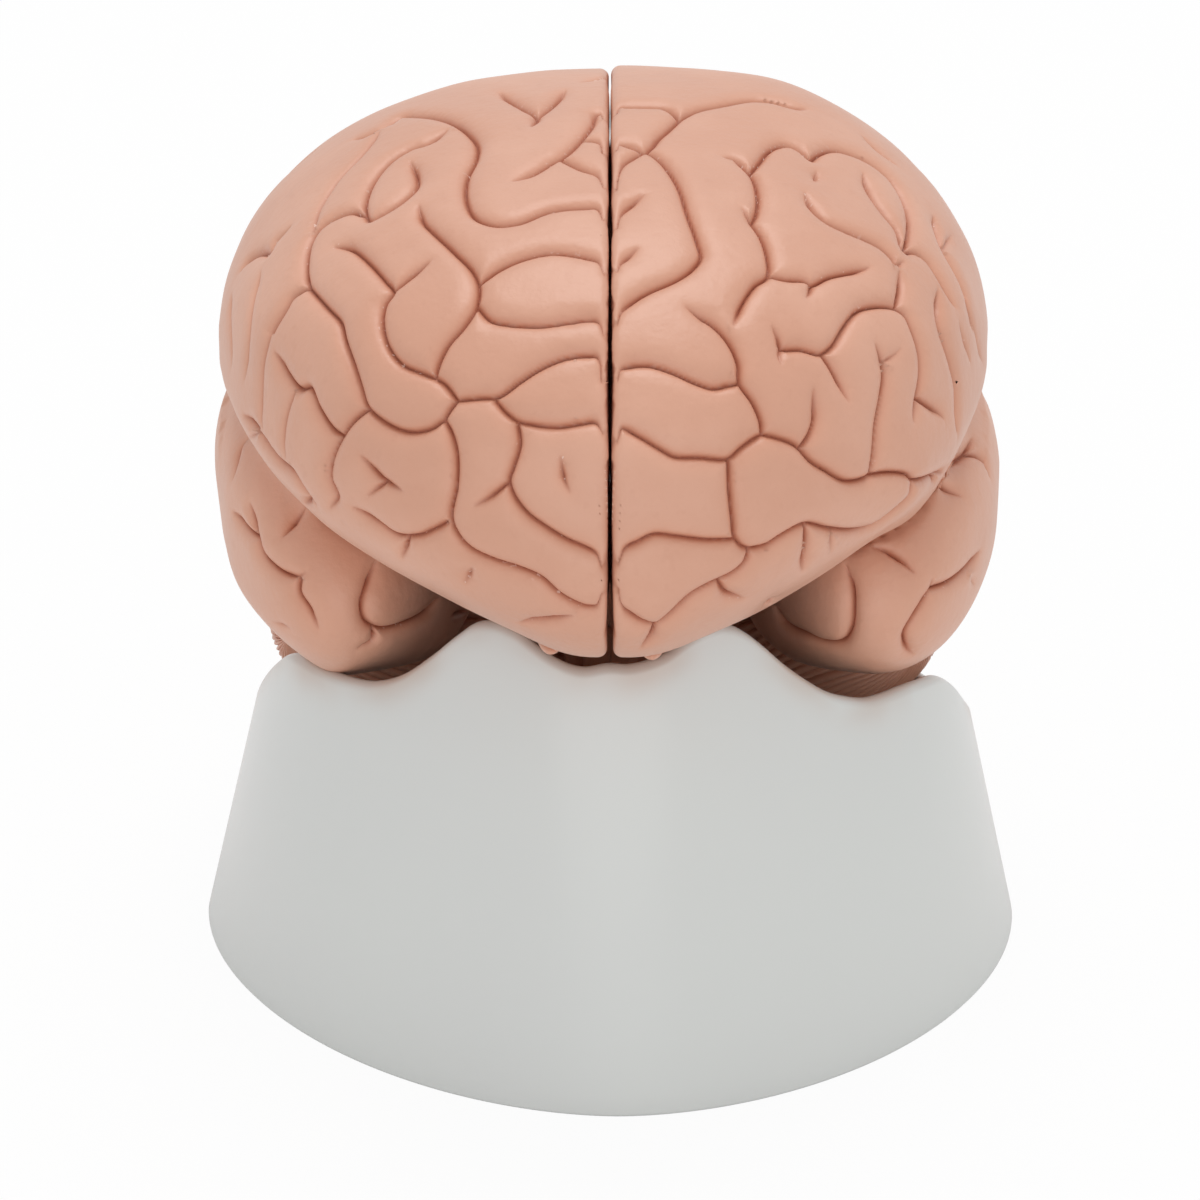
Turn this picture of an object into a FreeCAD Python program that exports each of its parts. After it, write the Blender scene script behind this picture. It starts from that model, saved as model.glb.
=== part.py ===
import FreeCAD, Part
import bisect
import math
import os
from FreeCAD import Rotation, Vector

# Life-size teaching model of the brain in two halves on a moulded stand.
# Frame: +Z up with the table at z = 0, frontal poles towards -Y, the brain's right half at -X.
# Sizes are millimetres and angles degrees.
doc = FreeCAD.newDocument("BrainModel")
sheet = doc.addObject("Spreadsheet::Sheet", "Sizes")

sizes = {
    # cerebrum
    "brainLength": 170.0,
    "rightHalfWidth": 69.0,
    "leftHalfWidth": 66.8,
    "crownRise": 43.5,
    "baseDrop": 30.5,
    "widestHeight": 87.0,
    "widestShift": 8.0,
    "rightUnderRoundness": 1.55,
    "leftUnderRoundness": 1.66,
    "slitWidth": 1.3,
    "slitRounding": 2.6,
    # temporal lobes
    "temporalLength": 112.0,
    "temporalWidth": 46.0,
    "temporalDepth": 51.0,
    "temporalOffset": 46.0,
    "temporalShift": 12.0,
    "temporalHeight": 54.5,
    "temporalLean": 12.0,
    # cerebellum
    "cerebellumLength": 54.0,
    "cerebellumWidth": 66.0,
    "cerebellumDepth": 40.0,
    "cerebellumOffset": 28.0,
    "cerebellumShift": 32.0,
    "foliaSpacing": 4.5,
    "foliaWidth": 1.0,
    "foliaDepth": 1.3,
    # brain stem
    "ponsRadius": 16.5,
    "medullaRadius": 8.0,
    "stemShift": 6.0,
    "stemBottom": 4.0,
    "stemTop": 62.0,
    # furrows
    "furrowDepth": 2.6,
    "furrowHalfWidth": 1.5,
    "furrowStep": 4.5,
    # stand
    "seatHeight": 25.0,
    "seatClearance": 0.3,
    "footWidth": 148.4,
    "footLength": 152.0,
    "sideDraft": 12.2,
    "frontDraft": 12.9,
    "standWall": 3.0,
    "standHeight": 90.0,
    "webTop": 29.0,
    "webUnder": 20.0,
    "rimMiddle": 78.2,
    "rimPeak": 85.4,
    "rimPeakOffset": 18.5,
    "rimValley": 64.5,
    "rimValleyOffset": 46.0,
    "shoulderHeight": 61.0,
    "backRim": 31.0,
    # locating pins
    "pinRadius": 2.0,
    "pinLength": 18.0,
    "pinSpacing": 128.0,
    "pinHeight": 90.0,
    "pinClearance": 0.1,
}
for row, (name, value) in enumerate(sizes.items(), 1):
    sheet.set(f"A{row}", name)
    sheet.set(f"B{row}", str(value))
    sheet.setAlias(f"B{row}", name)
doc.recompute()


def size(name):
    return float(sheet.get(name))


halfSlit = size("slitWidth") / 2
seat = size("seatHeight")
widestY = size("widestShift")
widestZ = seat + size("widestHeight")

# Middle section of the cerebrum, from the frontal pole over the crown and back along the base:
# share of the half length, share of the rise or drop from the widest place, and roundness,
# the exponent with which the form closes towards its side there. Two is an ellipse.
middleSection = [
    (-1.0, -0.10, 2.0), (-0.953, 0.30, 2.0), (-0.80, 0.64, 2.1), (-0.541, 0.874, 2.15),
    (-0.212, 0.98, 2.15), (0.118, 1.0, 2.15), (0.447, 0.897, 2.15), (0.706, 0.655, 2.15),
    (0.906, 0.30, 2.1), (1.0, -0.26, 2.1), (0.953, -0.79, 2.0), (0.776, -1.115, 1.9),
    (0.447, -1.197, 1.7), (0.059, -1.148, "under"), (-0.329, -1.033, "under"),
    (-0.659, -0.984, "under"), (-0.859, -0.80, "under"), (-0.971, -0.49, 1.8),
]


def closedSpline(points, marks=None):
    curve = Part.BSplineCurve()
    if marks:
        curve.interpolate(Points=points, PeriodicFlag=True, Parameters=marks)
    else:
        curve.interpolate(Points=points, PeriodicFlag=True)
    return curve


class Cerebrum:
    """One hemisphere without its temporal lobe, as stacked sections from the slit to its side."""

    stations = (0.3, 0.55, 0.76, 0.9, 0.975)

    def __init__(self, side, grow=0.0):
        self.side = side
        half, under = ("rightHalfWidth", "rightUnderRoundness") if side < 0 else (
            "leftHalfWidth", "leftUnderRoundness")
        self.width = size(half) + grow
        self.ring = []
        for along, level, roundness in middleSection:
            reach = size("crownRise") if level > 0 else size("baseDrop")
            offset = Vector(0, along * size("brainLength") / 2 - widestY, level * reach)
            offset = offset * (1 + grow / offset.Length)
            self.ring.append((offset, size(under) if roundness == "under" else roundness))
        self.marks = [0.0]
        for (a, _), (b, _) in zip(self.ring, self.ring[1:] + self.ring[:1]):
            self.marks.append(self.marks[-1] + (b - a).Length)
        self.tabulate()

    def tabulate(self):
        # reach and roundness of the middle section by its angle, for finding points on the form
        curve = closedSpline([offset for offset, _ in self.ring], self.marks)
        powers = [power for _, power in self.ring] + [self.ring[0][1]]
        self.rows = []
        steps = 20 * len(self.ring)
        for step in range(steps):
            at = self.marks[-1] * step / steps
            k = bisect.bisect(self.marks, at) - 1
            share = (at - self.marks[k]) / (self.marks[k + 1] - self.marks[k])
            p = curve.value(at)
            power = powers[k] + share * (powers[k + 1] - powers[k])
            self.rows.append((math.atan2(p.z, p.y), math.hypot(p.y, p.z), power))
        self.rows.sort()
        self.angles = [row[0] for row in self.rows]

    def level(self, p):
        # below zero inside the form
        y, z = p.y - widestY, p.z - widestZ
        _, reach, power = self.rows[bisect.bisect(self.angles, math.atan2(z, y)) % len(self.rows)]
        return (abs(p.x) / self.width) ** power + (math.hypot(y, z) / reach) ** power - 1

    def wire(self, x, inset=0.0):
        # the outline of the form at a distance from the slit, drawn in by the rounding there
        share = x / self.width
        middle = Vector(self.side * x, widestY, widestZ)
        points = []
        for offset, power in self.ring:
            reach = offset * (1 - share ** power) ** (1 / power)
            points.append(middle + reach * (1 - inset / reach.Length))
        return Part.Wire(closedSpline(points, self.marks).toShape())

    def solid(self):
        rounding = size("slitRounding")
        wires = []
        for turn in (0, 30, 60, 90):
            share = math.sin(math.radians(turn))
            lift = 1 - math.cos(math.radians(turn))
            wires.append(self.wire(halfSlit + rounding * lift, rounding * (1 - share)))
        wires += [self.wire(share * self.width) for share in self.stations]
        wires.append(Part.Vertex(self.side * self.width, widestY, widestZ))
        return Part.makeLoft(wires, True)


def ellipsoid(name, sizeX, sizeY, sizeZ, place, lean=None, grow=None):
    # one rounded lobe bound to its cells, larger by a clearance where it shapes the seat
    lobe = doc.addObject("Part::Ellipsoid", name)
    extra = f" + Sizes.{grow}" if grow else ""
    lobe.setExpression("Radius1", f"Sizes.{sizeZ} / 2{extra}")
    lobe.setExpression("Radius2", f"Sizes.{sizeX} / 2{extra}")
    lobe.setExpression("Radius3", f"Sizes.{sizeY} / 2{extra}")
    lobe.Placement.Rotation = Rotation(Vector(0, 1, 0), 0)
    for axis, rule in zip("xyz", place):
        lobe.setExpression(f"Placement.Base.{axis}", rule)
    if lean:
        lobe.Placement.Rotation = Rotation(Vector(0, 1, 0), 1)
        lobe.setExpression("Placement.Rotation.Angle", lean)
    return lobe


lobes = {}
for label, side in (("right", -1), ("left", 1)):
    for use, grow in (("", None), ("Seat", "seatClearance")):
        temporal = ellipsoid(
            f"{label}Temporal{use}", "temporalWidth", "temporalLength", "temporalDepth",
            (f"{side} * Sizes.temporalOffset", "Sizes.temporalShift", "Sizes.seatHeight + Sizes.temporalHeight"),
            f"{side} * Sizes.temporalLean", grow)
        cerebellum = ellipsoid(
            f"{label}Cerebellum{use}", "cerebellumWidth", "cerebellumLength", "cerebellumDepth",
            (f"{side} * Sizes.cerebellumOffset", "Sizes.cerebellumShift",
             "Sizes.seatHeight + Sizes.cerebellumDepth / 2"), None, grow)
        lobes[side, use] = (temporal, cerebellum)
doc.recompute()


def insideEllipsoid(lobe, p):
    d = lobe.Placement.inverse().multVec(p)
    rx, ry, rz = lobe.Radius2.Value, lobe.Radius3.Value, lobe.Radius1.Value
    return (d.x / rx) ** 2 + (d.y / ry) ** 2 + (d.z / rz) ** 2 - 1


def stemSolid(grow=0.0):
    # cord, medulla, pons and midbrain as one turned form, later halved at the slit
    low, top = seat + size("stemBottom") - grow, seat + size("stemTop")
    pons, medulla = size("ponsRadius") + grow, size("medullaRadius") + grow
    swell = [(0, 0.8 * medulla), (0.25, medulla), (0.45, 1.15 * medulla), (0.65, pons), (0.85, 0.9 * pons),
             (1, 0.8 * pons)]
    profile = Part.BSplineCurve()
    profile.interpolate([Vector(radius, 0, low + share * (top - low)) for share, radius in swell])
    corners = [Vector(swell[-1][1], 0, top), Vector(0, 0, top), Vector(0, 0, low), Vector(swell[0][1], 0, low)]
    wire = Part.Wire([profile.toShape()] + [Part.makeLine(a, b) for a, b in zip(corners, corners[1:])])
    stem = Part.Face(wire).revolve(Vector(0, 0, 0), Vector(0, 0, 1), 360)
    stem.translate(Vector(0, size("stemShift"), 0))
    return stem


def sideOfSlit(side):
    # the space on one side of the slit
    reach = size("brainLength")
    return Part.makeBox(reach, 2 * reach, 2 * reach, Vector(halfSlit if side > 0 else -halfSlit - reach, -reach, -reach / 2))


# Furrows are drawn as the model is looked at from the front: this far off, looking down by this
# much at a point over the middle of the table. A drawn point falls on to the form along its sight
# line. The others are drawn square to the side, the back and the slit.
viewDistance = 1000.0
viewTilt = math.radians(25.0)
aim = Vector(0, 0, 63)
sightUp = Vector(0, math.sin(viewTilt), math.cos(viewTilt))
eye = aim + Vector(0, -math.cos(viewTilt), math.sin(viewTilt)) * viewDistance

rightFurrows = [
    # crown and upper frontal lobe
    [(-46, 83), (-37.5, 87.3), (-30, 86.9), (-24.6, 83.5), (-26, 74), (-23, 68.7), (-17, 68.3), (-8, 71), (-1, 70.5)],
    [(-29.5, 84.5), (-36, 81.6), (-41.5, 77.5), (-44.4, 71), (-41.5, 69.7), (-35.5, 74.5), (-36, 79)],
    [(-20, 91), (-13.2, 87.6)],
    [(-12.2, 88.6), (-7.5, 91.8)],
    [(-0.5, 86.5), (-2.5, 88), (-5, 83.8), (-9, 80), (-17.4, 75.7)],
    [(-34.6, 71), (-30, 65), (-24.2, 58.5), (-24.4, 53), (-29.6, 46.3), (-31.9, 41)],
    [(-24, 57.5), (-19, 61), (-8, 63.1), (-1, 60.3)],
    [(-24.1, 53.2), (-18.7, 50.3), (-9.5, 50.1), (-3, 51), (-0.8, 49)],
    # side of the frontal lobe
    [(-44.8, 70.2), (-49, 69.5), (-53.5, 65.5), (-55, 57), (-50, 51.3), (-48.4, 47), (-45.6, 38), (-42.4, 33),
     (-37.8, 30.5), (-30.5, 32.6)],
    [(-55, 56.8), (-58, 54.3), (-61.4, 48), (-63, 38), (-62.8, 31)],
    [(-49.8, 63.9), (-45.5, 62.8), (-39.8, 56.3), (-41.5, 50), (-39.5, 44), (-34, 41), (-28, 36.2), (-23.8, 36.6),
     (-17, 39), (-10.5, 43.1), (-3, 44.5), (-0.8, 41.5)],
    [(-39.7, 56), (-35.4, 59.4), (-32.6, 61.3)],
    [(-60.6, 44.5), (-57.2, 38.3), (-54.1, 36.6), (-52, 32), (-49.2, 29.6)],
    [(-44.3, 34.5), (-49.3, 29), (-51.3, 22.5), (-50.3, 17)],
    [(-46.5, 16.4), (-38.5, 11.1), (-35, 11.1), (-30, 13.6)],
    [(-45, 25.8), (-41, 21.3), (-37.8, 19.7)],
    [(-57.8, 67.2), (-61.7, 62.7), (-64.5, 62.3), (-66.6, 59.5)],
    # lower frontal lobe
    [(-28, 36.2), (-30.4, 32.6), (-28.2, 27), (-28.3, 20), (-29, 13.5), (-25.8, 9), (-16.6, 5.2), (-11.3, 2.1),
     (-5.4, -1.7), (-1, -0.6)],
    [(-16.9, 31.7), (-17, 26.2), (-18.5, 21.5), (-15.4, 15.5), (-6, 9.8), (-1, 6.5)],
    [(-18.6, 21.2), (-24.3, 17)],
    [(-20.8, 36), (-17, 32.5), (-9.5, 31.4), (-3, 32.2), (-0.9, 30.5)],
    [(-9, 25.7), (-8.4, 21.8), (-7.4, 19.5)],
    # temporal lobe
    [(-64.9, 17.2), (-63.7, 9.4), (-58, 4.5), (-55.1, 4.9)],
    [(-56.2, 4.1), (-56.5, 1.4), (-52.8, -5.1)],
    [(-42.2, 6), (-44.3, -1), (-40.7, -5.6), (-34.5, -3.6), (-30.5, 0)],
]

leftFurrows = [
    # crown and upper frontal lobe
    [(0.5, 88), (1.9, 89), (8, 89), (12.5, 87.4), (18, 89.2), (26, 90.4), (35, 88.6)],
    [(12.5, 87.2), (8.6, 83.7), (6.3, 81.3), (0.8, 82)],
    [(2.4, 79.6), (6.3, 81.3), (10, 79), (12.5, 75), (15, 67.5), (16.4, 62.8), (13.6, 59.4), (6, 55.8), (0.9, 51)],
    [(0.8, 68), (2.5, 70.7), (6, 73.2)],
    [(0.9, 60), (2.6, 61.8), (5, 63.7)],
    [(22, 79.9), (25.5, 77.5), (26.9, 73), (25.7, 68.7)],
    [(25.3, 77.5), (28.5, 81.4), (31.6, 82.5), (34.6, 81.4), (36.4, 79.9)],
    [(36.4, 79.9), (40, 81.6), (46, 79.5), (51.2, 75.4), (54.3, 69), (53.5, 63.3)],
    [(24.1, 70.7), (27.6, 66), (28.9, 60), (24.6, 55), (22.4, 49.8)],
    [(28.7, 59), (34, 58.1), (36.8, 57.4), (41.9, 59.2), (46.7, 59.9)],
    [(36.8, 57.4), (35.6, 54.7)],
    [(35.2, 73.4), (38.9, 68.7), (45.8, 65.6), (50.1, 63), (52.4, 60.5)],
    # side of the frontal lobe
    [(45.7, 76.8), (49.7, 69.9), (53.4, 63.2), (57.2, 61.7), (60.5, 56.6), (62, 53.2)],
    [(52.4, 60.3), (52.7, 56.5), (52.2, 53.4)],
    [(29.5, 49.4), (31.3, 46), (38.6, 44.7), (42.2, 48.6), (46.3, 53), (51.6, 53.1), (54.8, 49.5), (56.4, 42.2),
     (55.9, 36.5), (55, 32.5)],
    [(38.6, 44.7), (40.9, 41), (43, 36)],
    [(55.9, 36.5), (58, 35.1), (60.3, 32.8)],
    [(48.2, 46.1), (50, 41.2), (49, 34.6), (48.1, 27), (47.6, 22.6)],
    [(36.9, 37.9), (37.3, 32.8), (35, 27.5)],
    [(28, 29.9), (35, 27.4), (39.4, 23.4), (44.7, 21.2), (48, 22.4), (53.4, 22.8), (55.3, 21.3)],
    [(59.3, 55.7), (59.9, 48), (62.4, 40.7), (62.7, 30.3)],
    [(58.5, 69.1), (60.3, 63.2), (64.2, 55), (66.2, 46)],
    # lower frontal lobe
    [(13.9, 53), (19, 49.9), (22.8, 44.8), (23.8, 40), (27.1, 34.2), (28, 30)],
    [(0.9, 41), (3.6, 42.6), (8.5, 42.4), (14.4, 40), (19, 38.5), (23.7, 39.4)],
    [(1.1, 30), (3, 31), (8.2, 28), (11.8, 25.9), (19, 25.8), (21.8, 25.7), (25.3, 28.5), (28, 29.9)],
    [(21.9, 23.6), (22, 18), (22.8, 12)],
    [(1, 6.9), (5.2, 10.2), (10, 11.6), (17.7, 10.4), (25.6, 9.2), (30, 11), (36, 13.8)],
    [(36, 15), (40, 15.4), (46, 17.6), (52, 20.8)],
    [(25.3, 7.8), (23.8, 5.3), (14.9, 0.3), (9.8, -4.4), (5.9, -4.7), (1.2, -1)],
    # temporal lobe
    [(42.4, 5), (43.4, 0.5), (42.6, -7), (40, -8.4), (34.9, -6.5), (29.5, -2)],
    [(66, 7), (64.1, 4.8), (58.1, 2), (53.5, -7), (54.5, -9.9)],
    [(48, 9), (54.7, 5.3)],
]

# Both halves, seen square from the side as (y, height over the table).
sideFurrows = [
    [(26, 139), (24, 128), (19, 118), (22, 107)],
    [(41, 141), (40, 134), (34, 121), (39, 107)],
    [(56, 138), (50, 126), (55, 113), (50, 104)],
    [(67, 125), (60, 114), (67, 104), (63, 93)],
    [(40, 132), (48, 136), (58, 129)],
    [(34, 121), (42, 118), (50, 124)],
    [(55, 113), (61, 114)],
    [(-28, 86), (-10, 88), (8, 85), (28, 87), (46, 90)],
    [(-22, 69), (-4, 72), (16, 68), (36, 71), (52, 76)],
    [(8, 85), (14, 77), (16, 68)],
]

# Both halves, seen square from behind as (distance from the slit, height over the table).
backFurrows = [
    [(2, 136), (14, 132), (24, 136), (36, 130)],
    [(2, 118), (12, 121), (22, 115), (30, 119)],
    [(2, 104), (16, 102), (24, 94), (36, 96)],
    [(6, 90), (16, 86), (28, 86)],
]

# Both halves, on the flat face of the slit as (y, height over the table).
slitFurrows = [
    [(-40, 98), (-34, 112), (-12, 121), (14, 122), (34, 114), (40, 102)],
    [(-60, 98), (-54, 120), (-26, 135), (10, 137), (32, 132)],
    [(54, 138), (50, 120), (42, 106), (62, 101), (80, 99)],
]


def drawnLine(points):
    # even steps along a smooth line through drawn points
    line = Part.BSplineCurve()
    line.interpolate([Vector(across, up, 0) for across, up in points])
    count = max(3, round(line.length() / size("furrowStep")) + 1)
    return [line.value(line.parameterAtDistance(line.length() * k / (count - 1))) for k in range(count)]


def meets(start, ray, level, reach=300.0, step=2.0):
    # where a sight line first meets the form, or nothing
    near = 0.0
    while level(start + ray * (near + step)) > 0:
        near += step
        if near > reach:
            return None
    far = near + step
    for _ in range(12):
        middle = (near + far) / 2
        if level(start + ray * middle) > 0:
            near = middle
        else:
            far = middle
    return start + ray * far


def outward(p, level):
    axes = (Vector(0.2, 0, 0), Vector(0, 0.2, 0), Vector(0, 0, 0.2))
    return Vector(*[level(p + axis) - level(p - axis) for axis in axes]).normalize()


def furrowCutter(route, normals):
    # a V-shaped cutter along points on the form, shallow at its ends
    depth, halfWidth, lift = size("furrowDepth"), size("furrowHalfWidth"), 1.0
    last = len(route) - 1
    wires = []
    for k, (p, normal) in enumerate(zip(route, normals)):
        across = normal.cross(route[min(k + 1, last)] - route[max(k - 1, 0)]).normalize()
        deep = depth * min(1.0, 0.4 + 0.4 * min(k, last - k))
        spread = across * halfWidth * (lift + deep) / depth
        corners = [p - normal * deep, p + normal * lift + spread, p + normal * lift - spread]
        wires.append(Part.makePolygon(corners + corners[:1]))
    return Part.makeLoft(wires, True, True)


def furrows(side):
    # every furrow cutter of one half
    cerebrum = Cerebrum(side)
    temporal = lobes[side, ""][0]

    def level(p):
        return min(cerebrum.level(p), insideEllipsoid(temporal, p))

    sight = []
    for points in rightFurrows if side < 0 else leftFurrows:
        rays = []
        for drawn in drawnLine(points):
            ray = (aim + Vector(drawn.x, 0, 0) + sightUp * drawn.y - eye).normalize()
            rays.append((eye + ray * 0.78 * viewDistance, ray))
        sight.append(rays)
    for points in sideFurrows:
        sight.append([(Vector(side * 100, drawn.x, drawn.y), Vector(-side, 0, 0)) for drawn in drawnLine(points)])
    for points in backFurrows:
        sight.append([(Vector(side * drawn.x, 120, drawn.y), Vector(0, -1, 0)) for drawn in drawnLine(points)])
    cutters = []
    for rays in sight:
        route = [p for p in (meets(start, ray, level) for start, ray in rays) if p]
        cutters.append(furrowCutter(route, [outward(p, level) for p in route]))
    for points in slitFurrows:
        route = [Vector(side * halfSlit, drawn.x, drawn.y) for drawn in drawnLine(points)]
        cutters.append(furrowCutter(route, [Vector(-side, 0, 0)] * len(route)))
    return cutters


def foliaCutter(cerebellum):
    # level rings round one side of the cerebellum
    centre = cerebellum.Placement.Base
    rx, ry, rz = cerebellum.Radius2.Value, cerebellum.Radius3.Value, cerebellum.Radius1.Value
    spacing, width, depth = size("foliaSpacing"), size("foliaWidth"), size("foliaDepth")
    rings = []
    for k in range(-int(0.85 * rz / spacing), int(0.85 * rz / spacing) + 1):
        share = (1 - (k * spacing / rz) ** 2) ** 0.5
        outlines = [Part.Face(ellipseWire(rx * share + grow, ry * share + grow, 0)) for grow in (5, -depth)]
        ring = outlines[0].cut(outlines[1]).extrude(Vector(0, 0, width))
        ring.translate(centre + Vector(0, 0, k * spacing - width / 2))
        rings.append(ring)
    return rings


def ellipseWire(a, b, height):
    count = 16
    turns = [2 * math.pi * k / count for k in range(count)]
    return Part.Wire(closedSpline([Vector(a * math.cos(t), b * math.sin(t), height) for t in turns]).toShape())


def half(side):
    temporal, cerebellum = lobes[side, ""]
    hind = cerebellum.Shape.cut(foliaCutter(cerebellum)).fuse(stemSolid()).common(sideOfSlit(side))
    whole = Cerebrum(side).solid().fuse([temporal.Shape, hind])
    return whole.cut(furrows(side) + [pin.Shape for pin in pinHoles])


# Locating pins across the slit, and their holes in both halves.
def crosspin(name, place, radius):
    pin = doc.addObject("Part::Cylinder", name)
    pin.setExpression("Radius", radius)
    pin.setExpression("Height", "Sizes.pinLength")
    pin.Placement.Rotation = Rotation(Vector(0, 1, 0), 90)
    pin.setExpression("Placement.Base.x", "-Sizes.pinLength / 2")
    pin.setExpression("Placement.Base.y", place)
    pin.setExpression("Placement.Base.z", "Sizes.seatHeight + Sizes.pinHeight")
    return pin


places = {"front": "-Sizes.pinSpacing / 2", "rear": "Sizes.pinSpacing / 2"}
pins = [crosspin(f"{end}Pin", place, "Sizes.pinRadius") for end, place in places.items()]
pinHoles = [crosspin(f"{end}Hole", place, "Sizes.pinRadius + Sizes.pinClearance") for end, place in places.items()]
doc.recompute()


def hollowForm(low, high, inset):
    # the drafted form of the stand between two heights
    wires = []
    for height in (low, high):
        a = size("footWidth") / 2 - height * math.tan(math.radians(size("sideDraft"))) - inset
        b = size("footLength") / 2 - height * math.tan(math.radians(size("frontDraft"))) - inset
        wires.append(ellipseWire(a, b, height))
    return Part.makeLoft(wires, True, True)


def rimSpace(points, plane):
    # everything below a rim line, seen from the front or from the side
    line = Part.BSplineCurve()
    line.interpolate([plane(across, height) for across, height in points])
    (left, _), (right, _) = points[0], points[-1]
    ends = [line.EndPoint, plane(right, -1), plane(left, -1), line.StartPoint]
    wire = Part.Wire([line.toShape()] + [Part.makeLine(a, b) for a, b in zip(ends, ends[1:])])
    return Part.Face(wire)


def standSolid():
    wall, top = size("standWall"), size("standHeight")
    shell = hollowForm(0, top, 0).cut([
        hollowForm(-1, size("webUnder"), wall), hollowForm(size("webTop"), top + 1, wall)])
    peak, valley, middle = size("rimPeak"), size("rimValley"), size("rimMiddle")
    near, far, reach = size("rimPeakOffset"), size("rimValleyOffset"), size("footWidth")
    # the rim seen from the front: a low bump, two peaks under the frontal lobes, two valleys
    wave = [(0, middle), (0.26 * near, middle - 1), (0.55 * near, middle + 0.1), (0.8 * near, peak - 1.7), (near, peak)]
    for run, fall in ((0.17, 0.09), (0.37, 0.38), (0.57, 0.66), (0.78, 0.88), (1, 1)):
        wave.append((near + run * (far - near), peak - fall * (peak - valley)))
    wave += [(1.2 * far, valley - 1.3), (1.45 * far, valley - 2), (reach, valley - 2)]
    front = rimSpace([(-across, height) for across, height in wave[:0:-1]] + wave, lambda a, h: Vector(a, -reach, h))
    # the rim seen from the side: it falls from the front behind the shoulders to the low back
    shoulder, low = size("shoulderHeight"), size("backRim")
    fall = [(-reach, top + 6), (-58, top + 2), (-50, top - 6), (-44, shoulder + 11), (-36, shoulder + 5),
            (-24, shoulder), (-18, shoulder - 4), (-12, shoulder - 10), (-4, shoulder - 16), (6, low + 8.5),
            (18, low + 4.5), (34, low + 1.5), (56, low), (reach, low - 0.5)]
    profile = rimSpace(fall, lambda a, h: Vector(-reach, a, h))
    shell = shell.common(front.extrude(Vector(0, 2 * reach, 0))).common(profile.extrude(Vector(2 * reach, 0, 0)))
    clearance = size("seatClearance")
    seatForms = [stemSolid(clearance)]
    for side in (-1, 1):
        seatForms += [Cerebrum(side, clearance).solid()] + [lobe.Shape for lobe in lobes[side, "Seat"]]
    return shell.cut(seatForms)


def made(name, shape):
    piece = doc.addObject("Part::Feature", name)
    piece.Shape = shape.Solids[0] if len(shape.Solids) == 1 else shape
    piece.Label = name
    return piece


pieces = [made("right_half", half(-1)), made("left_half", half(1)), made("stand", standSolid())]
group = doc.addObject("Part::Compound", "locating_pins")
group.Links = pins
group.Label = "locating_pins"
pieces.append(group)
doc.recompute()

for piece in doc.Objects:
    if {"Invalid", "Error"} & set(piece.State):
        raise RuntimeError(f"{piece.Label} failed")
for piece in pieces:
    if piece.Shape.isNull() or not piece.Shape.isValid():
        raise RuntimeError(f"{piece.Label} has no valid shape")

os.makedirs("parts", exist_ok=True)
for piece in pieces:
    piece.Shape.exportStep(f"parts/{piece.Label}.step")
    print(piece.Label, len(piece.Shape.Solids), "solids", round(piece.Shape.Volume), "mm3")
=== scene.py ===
import math
import bpy
import numpy as np
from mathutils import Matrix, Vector, kdtree, noise


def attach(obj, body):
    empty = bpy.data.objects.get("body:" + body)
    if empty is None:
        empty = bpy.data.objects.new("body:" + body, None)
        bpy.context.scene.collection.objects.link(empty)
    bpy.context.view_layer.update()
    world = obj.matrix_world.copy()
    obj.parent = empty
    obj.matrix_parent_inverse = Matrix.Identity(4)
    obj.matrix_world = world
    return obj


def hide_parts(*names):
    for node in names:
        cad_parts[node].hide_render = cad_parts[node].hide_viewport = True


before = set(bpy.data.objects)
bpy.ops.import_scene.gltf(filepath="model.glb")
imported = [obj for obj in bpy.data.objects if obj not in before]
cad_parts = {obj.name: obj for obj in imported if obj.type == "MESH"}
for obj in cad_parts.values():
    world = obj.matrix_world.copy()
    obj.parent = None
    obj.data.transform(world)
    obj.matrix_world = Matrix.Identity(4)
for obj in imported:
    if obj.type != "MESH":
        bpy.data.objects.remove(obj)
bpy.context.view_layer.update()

# A life-size brain model in two halves on a white moulded stand.
# Shapes are worked out in millimetres and become metres when they are written to a mesh.
mm = 0.001

# Where the reference view is taken from: distance, downward tilt and the point looked at.
sight = {"distance": 1000.0, "tilt": 25.0, "target": (0.0, 0.0, 63.0), "pixelsPerTangent": 5560.0,
         "imageWidth": 1200.0, "middlePixel": 610.0}
tilt = math.radians(sight["tilt"])
target = np.array(sight["target"])
sightUp = np.array([0.0, math.sin(tilt), math.cos(tilt)])
eye = target + sight["distance"] * np.array([0.0, -math.cos(tilt), math.sin(tilt)])

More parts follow.
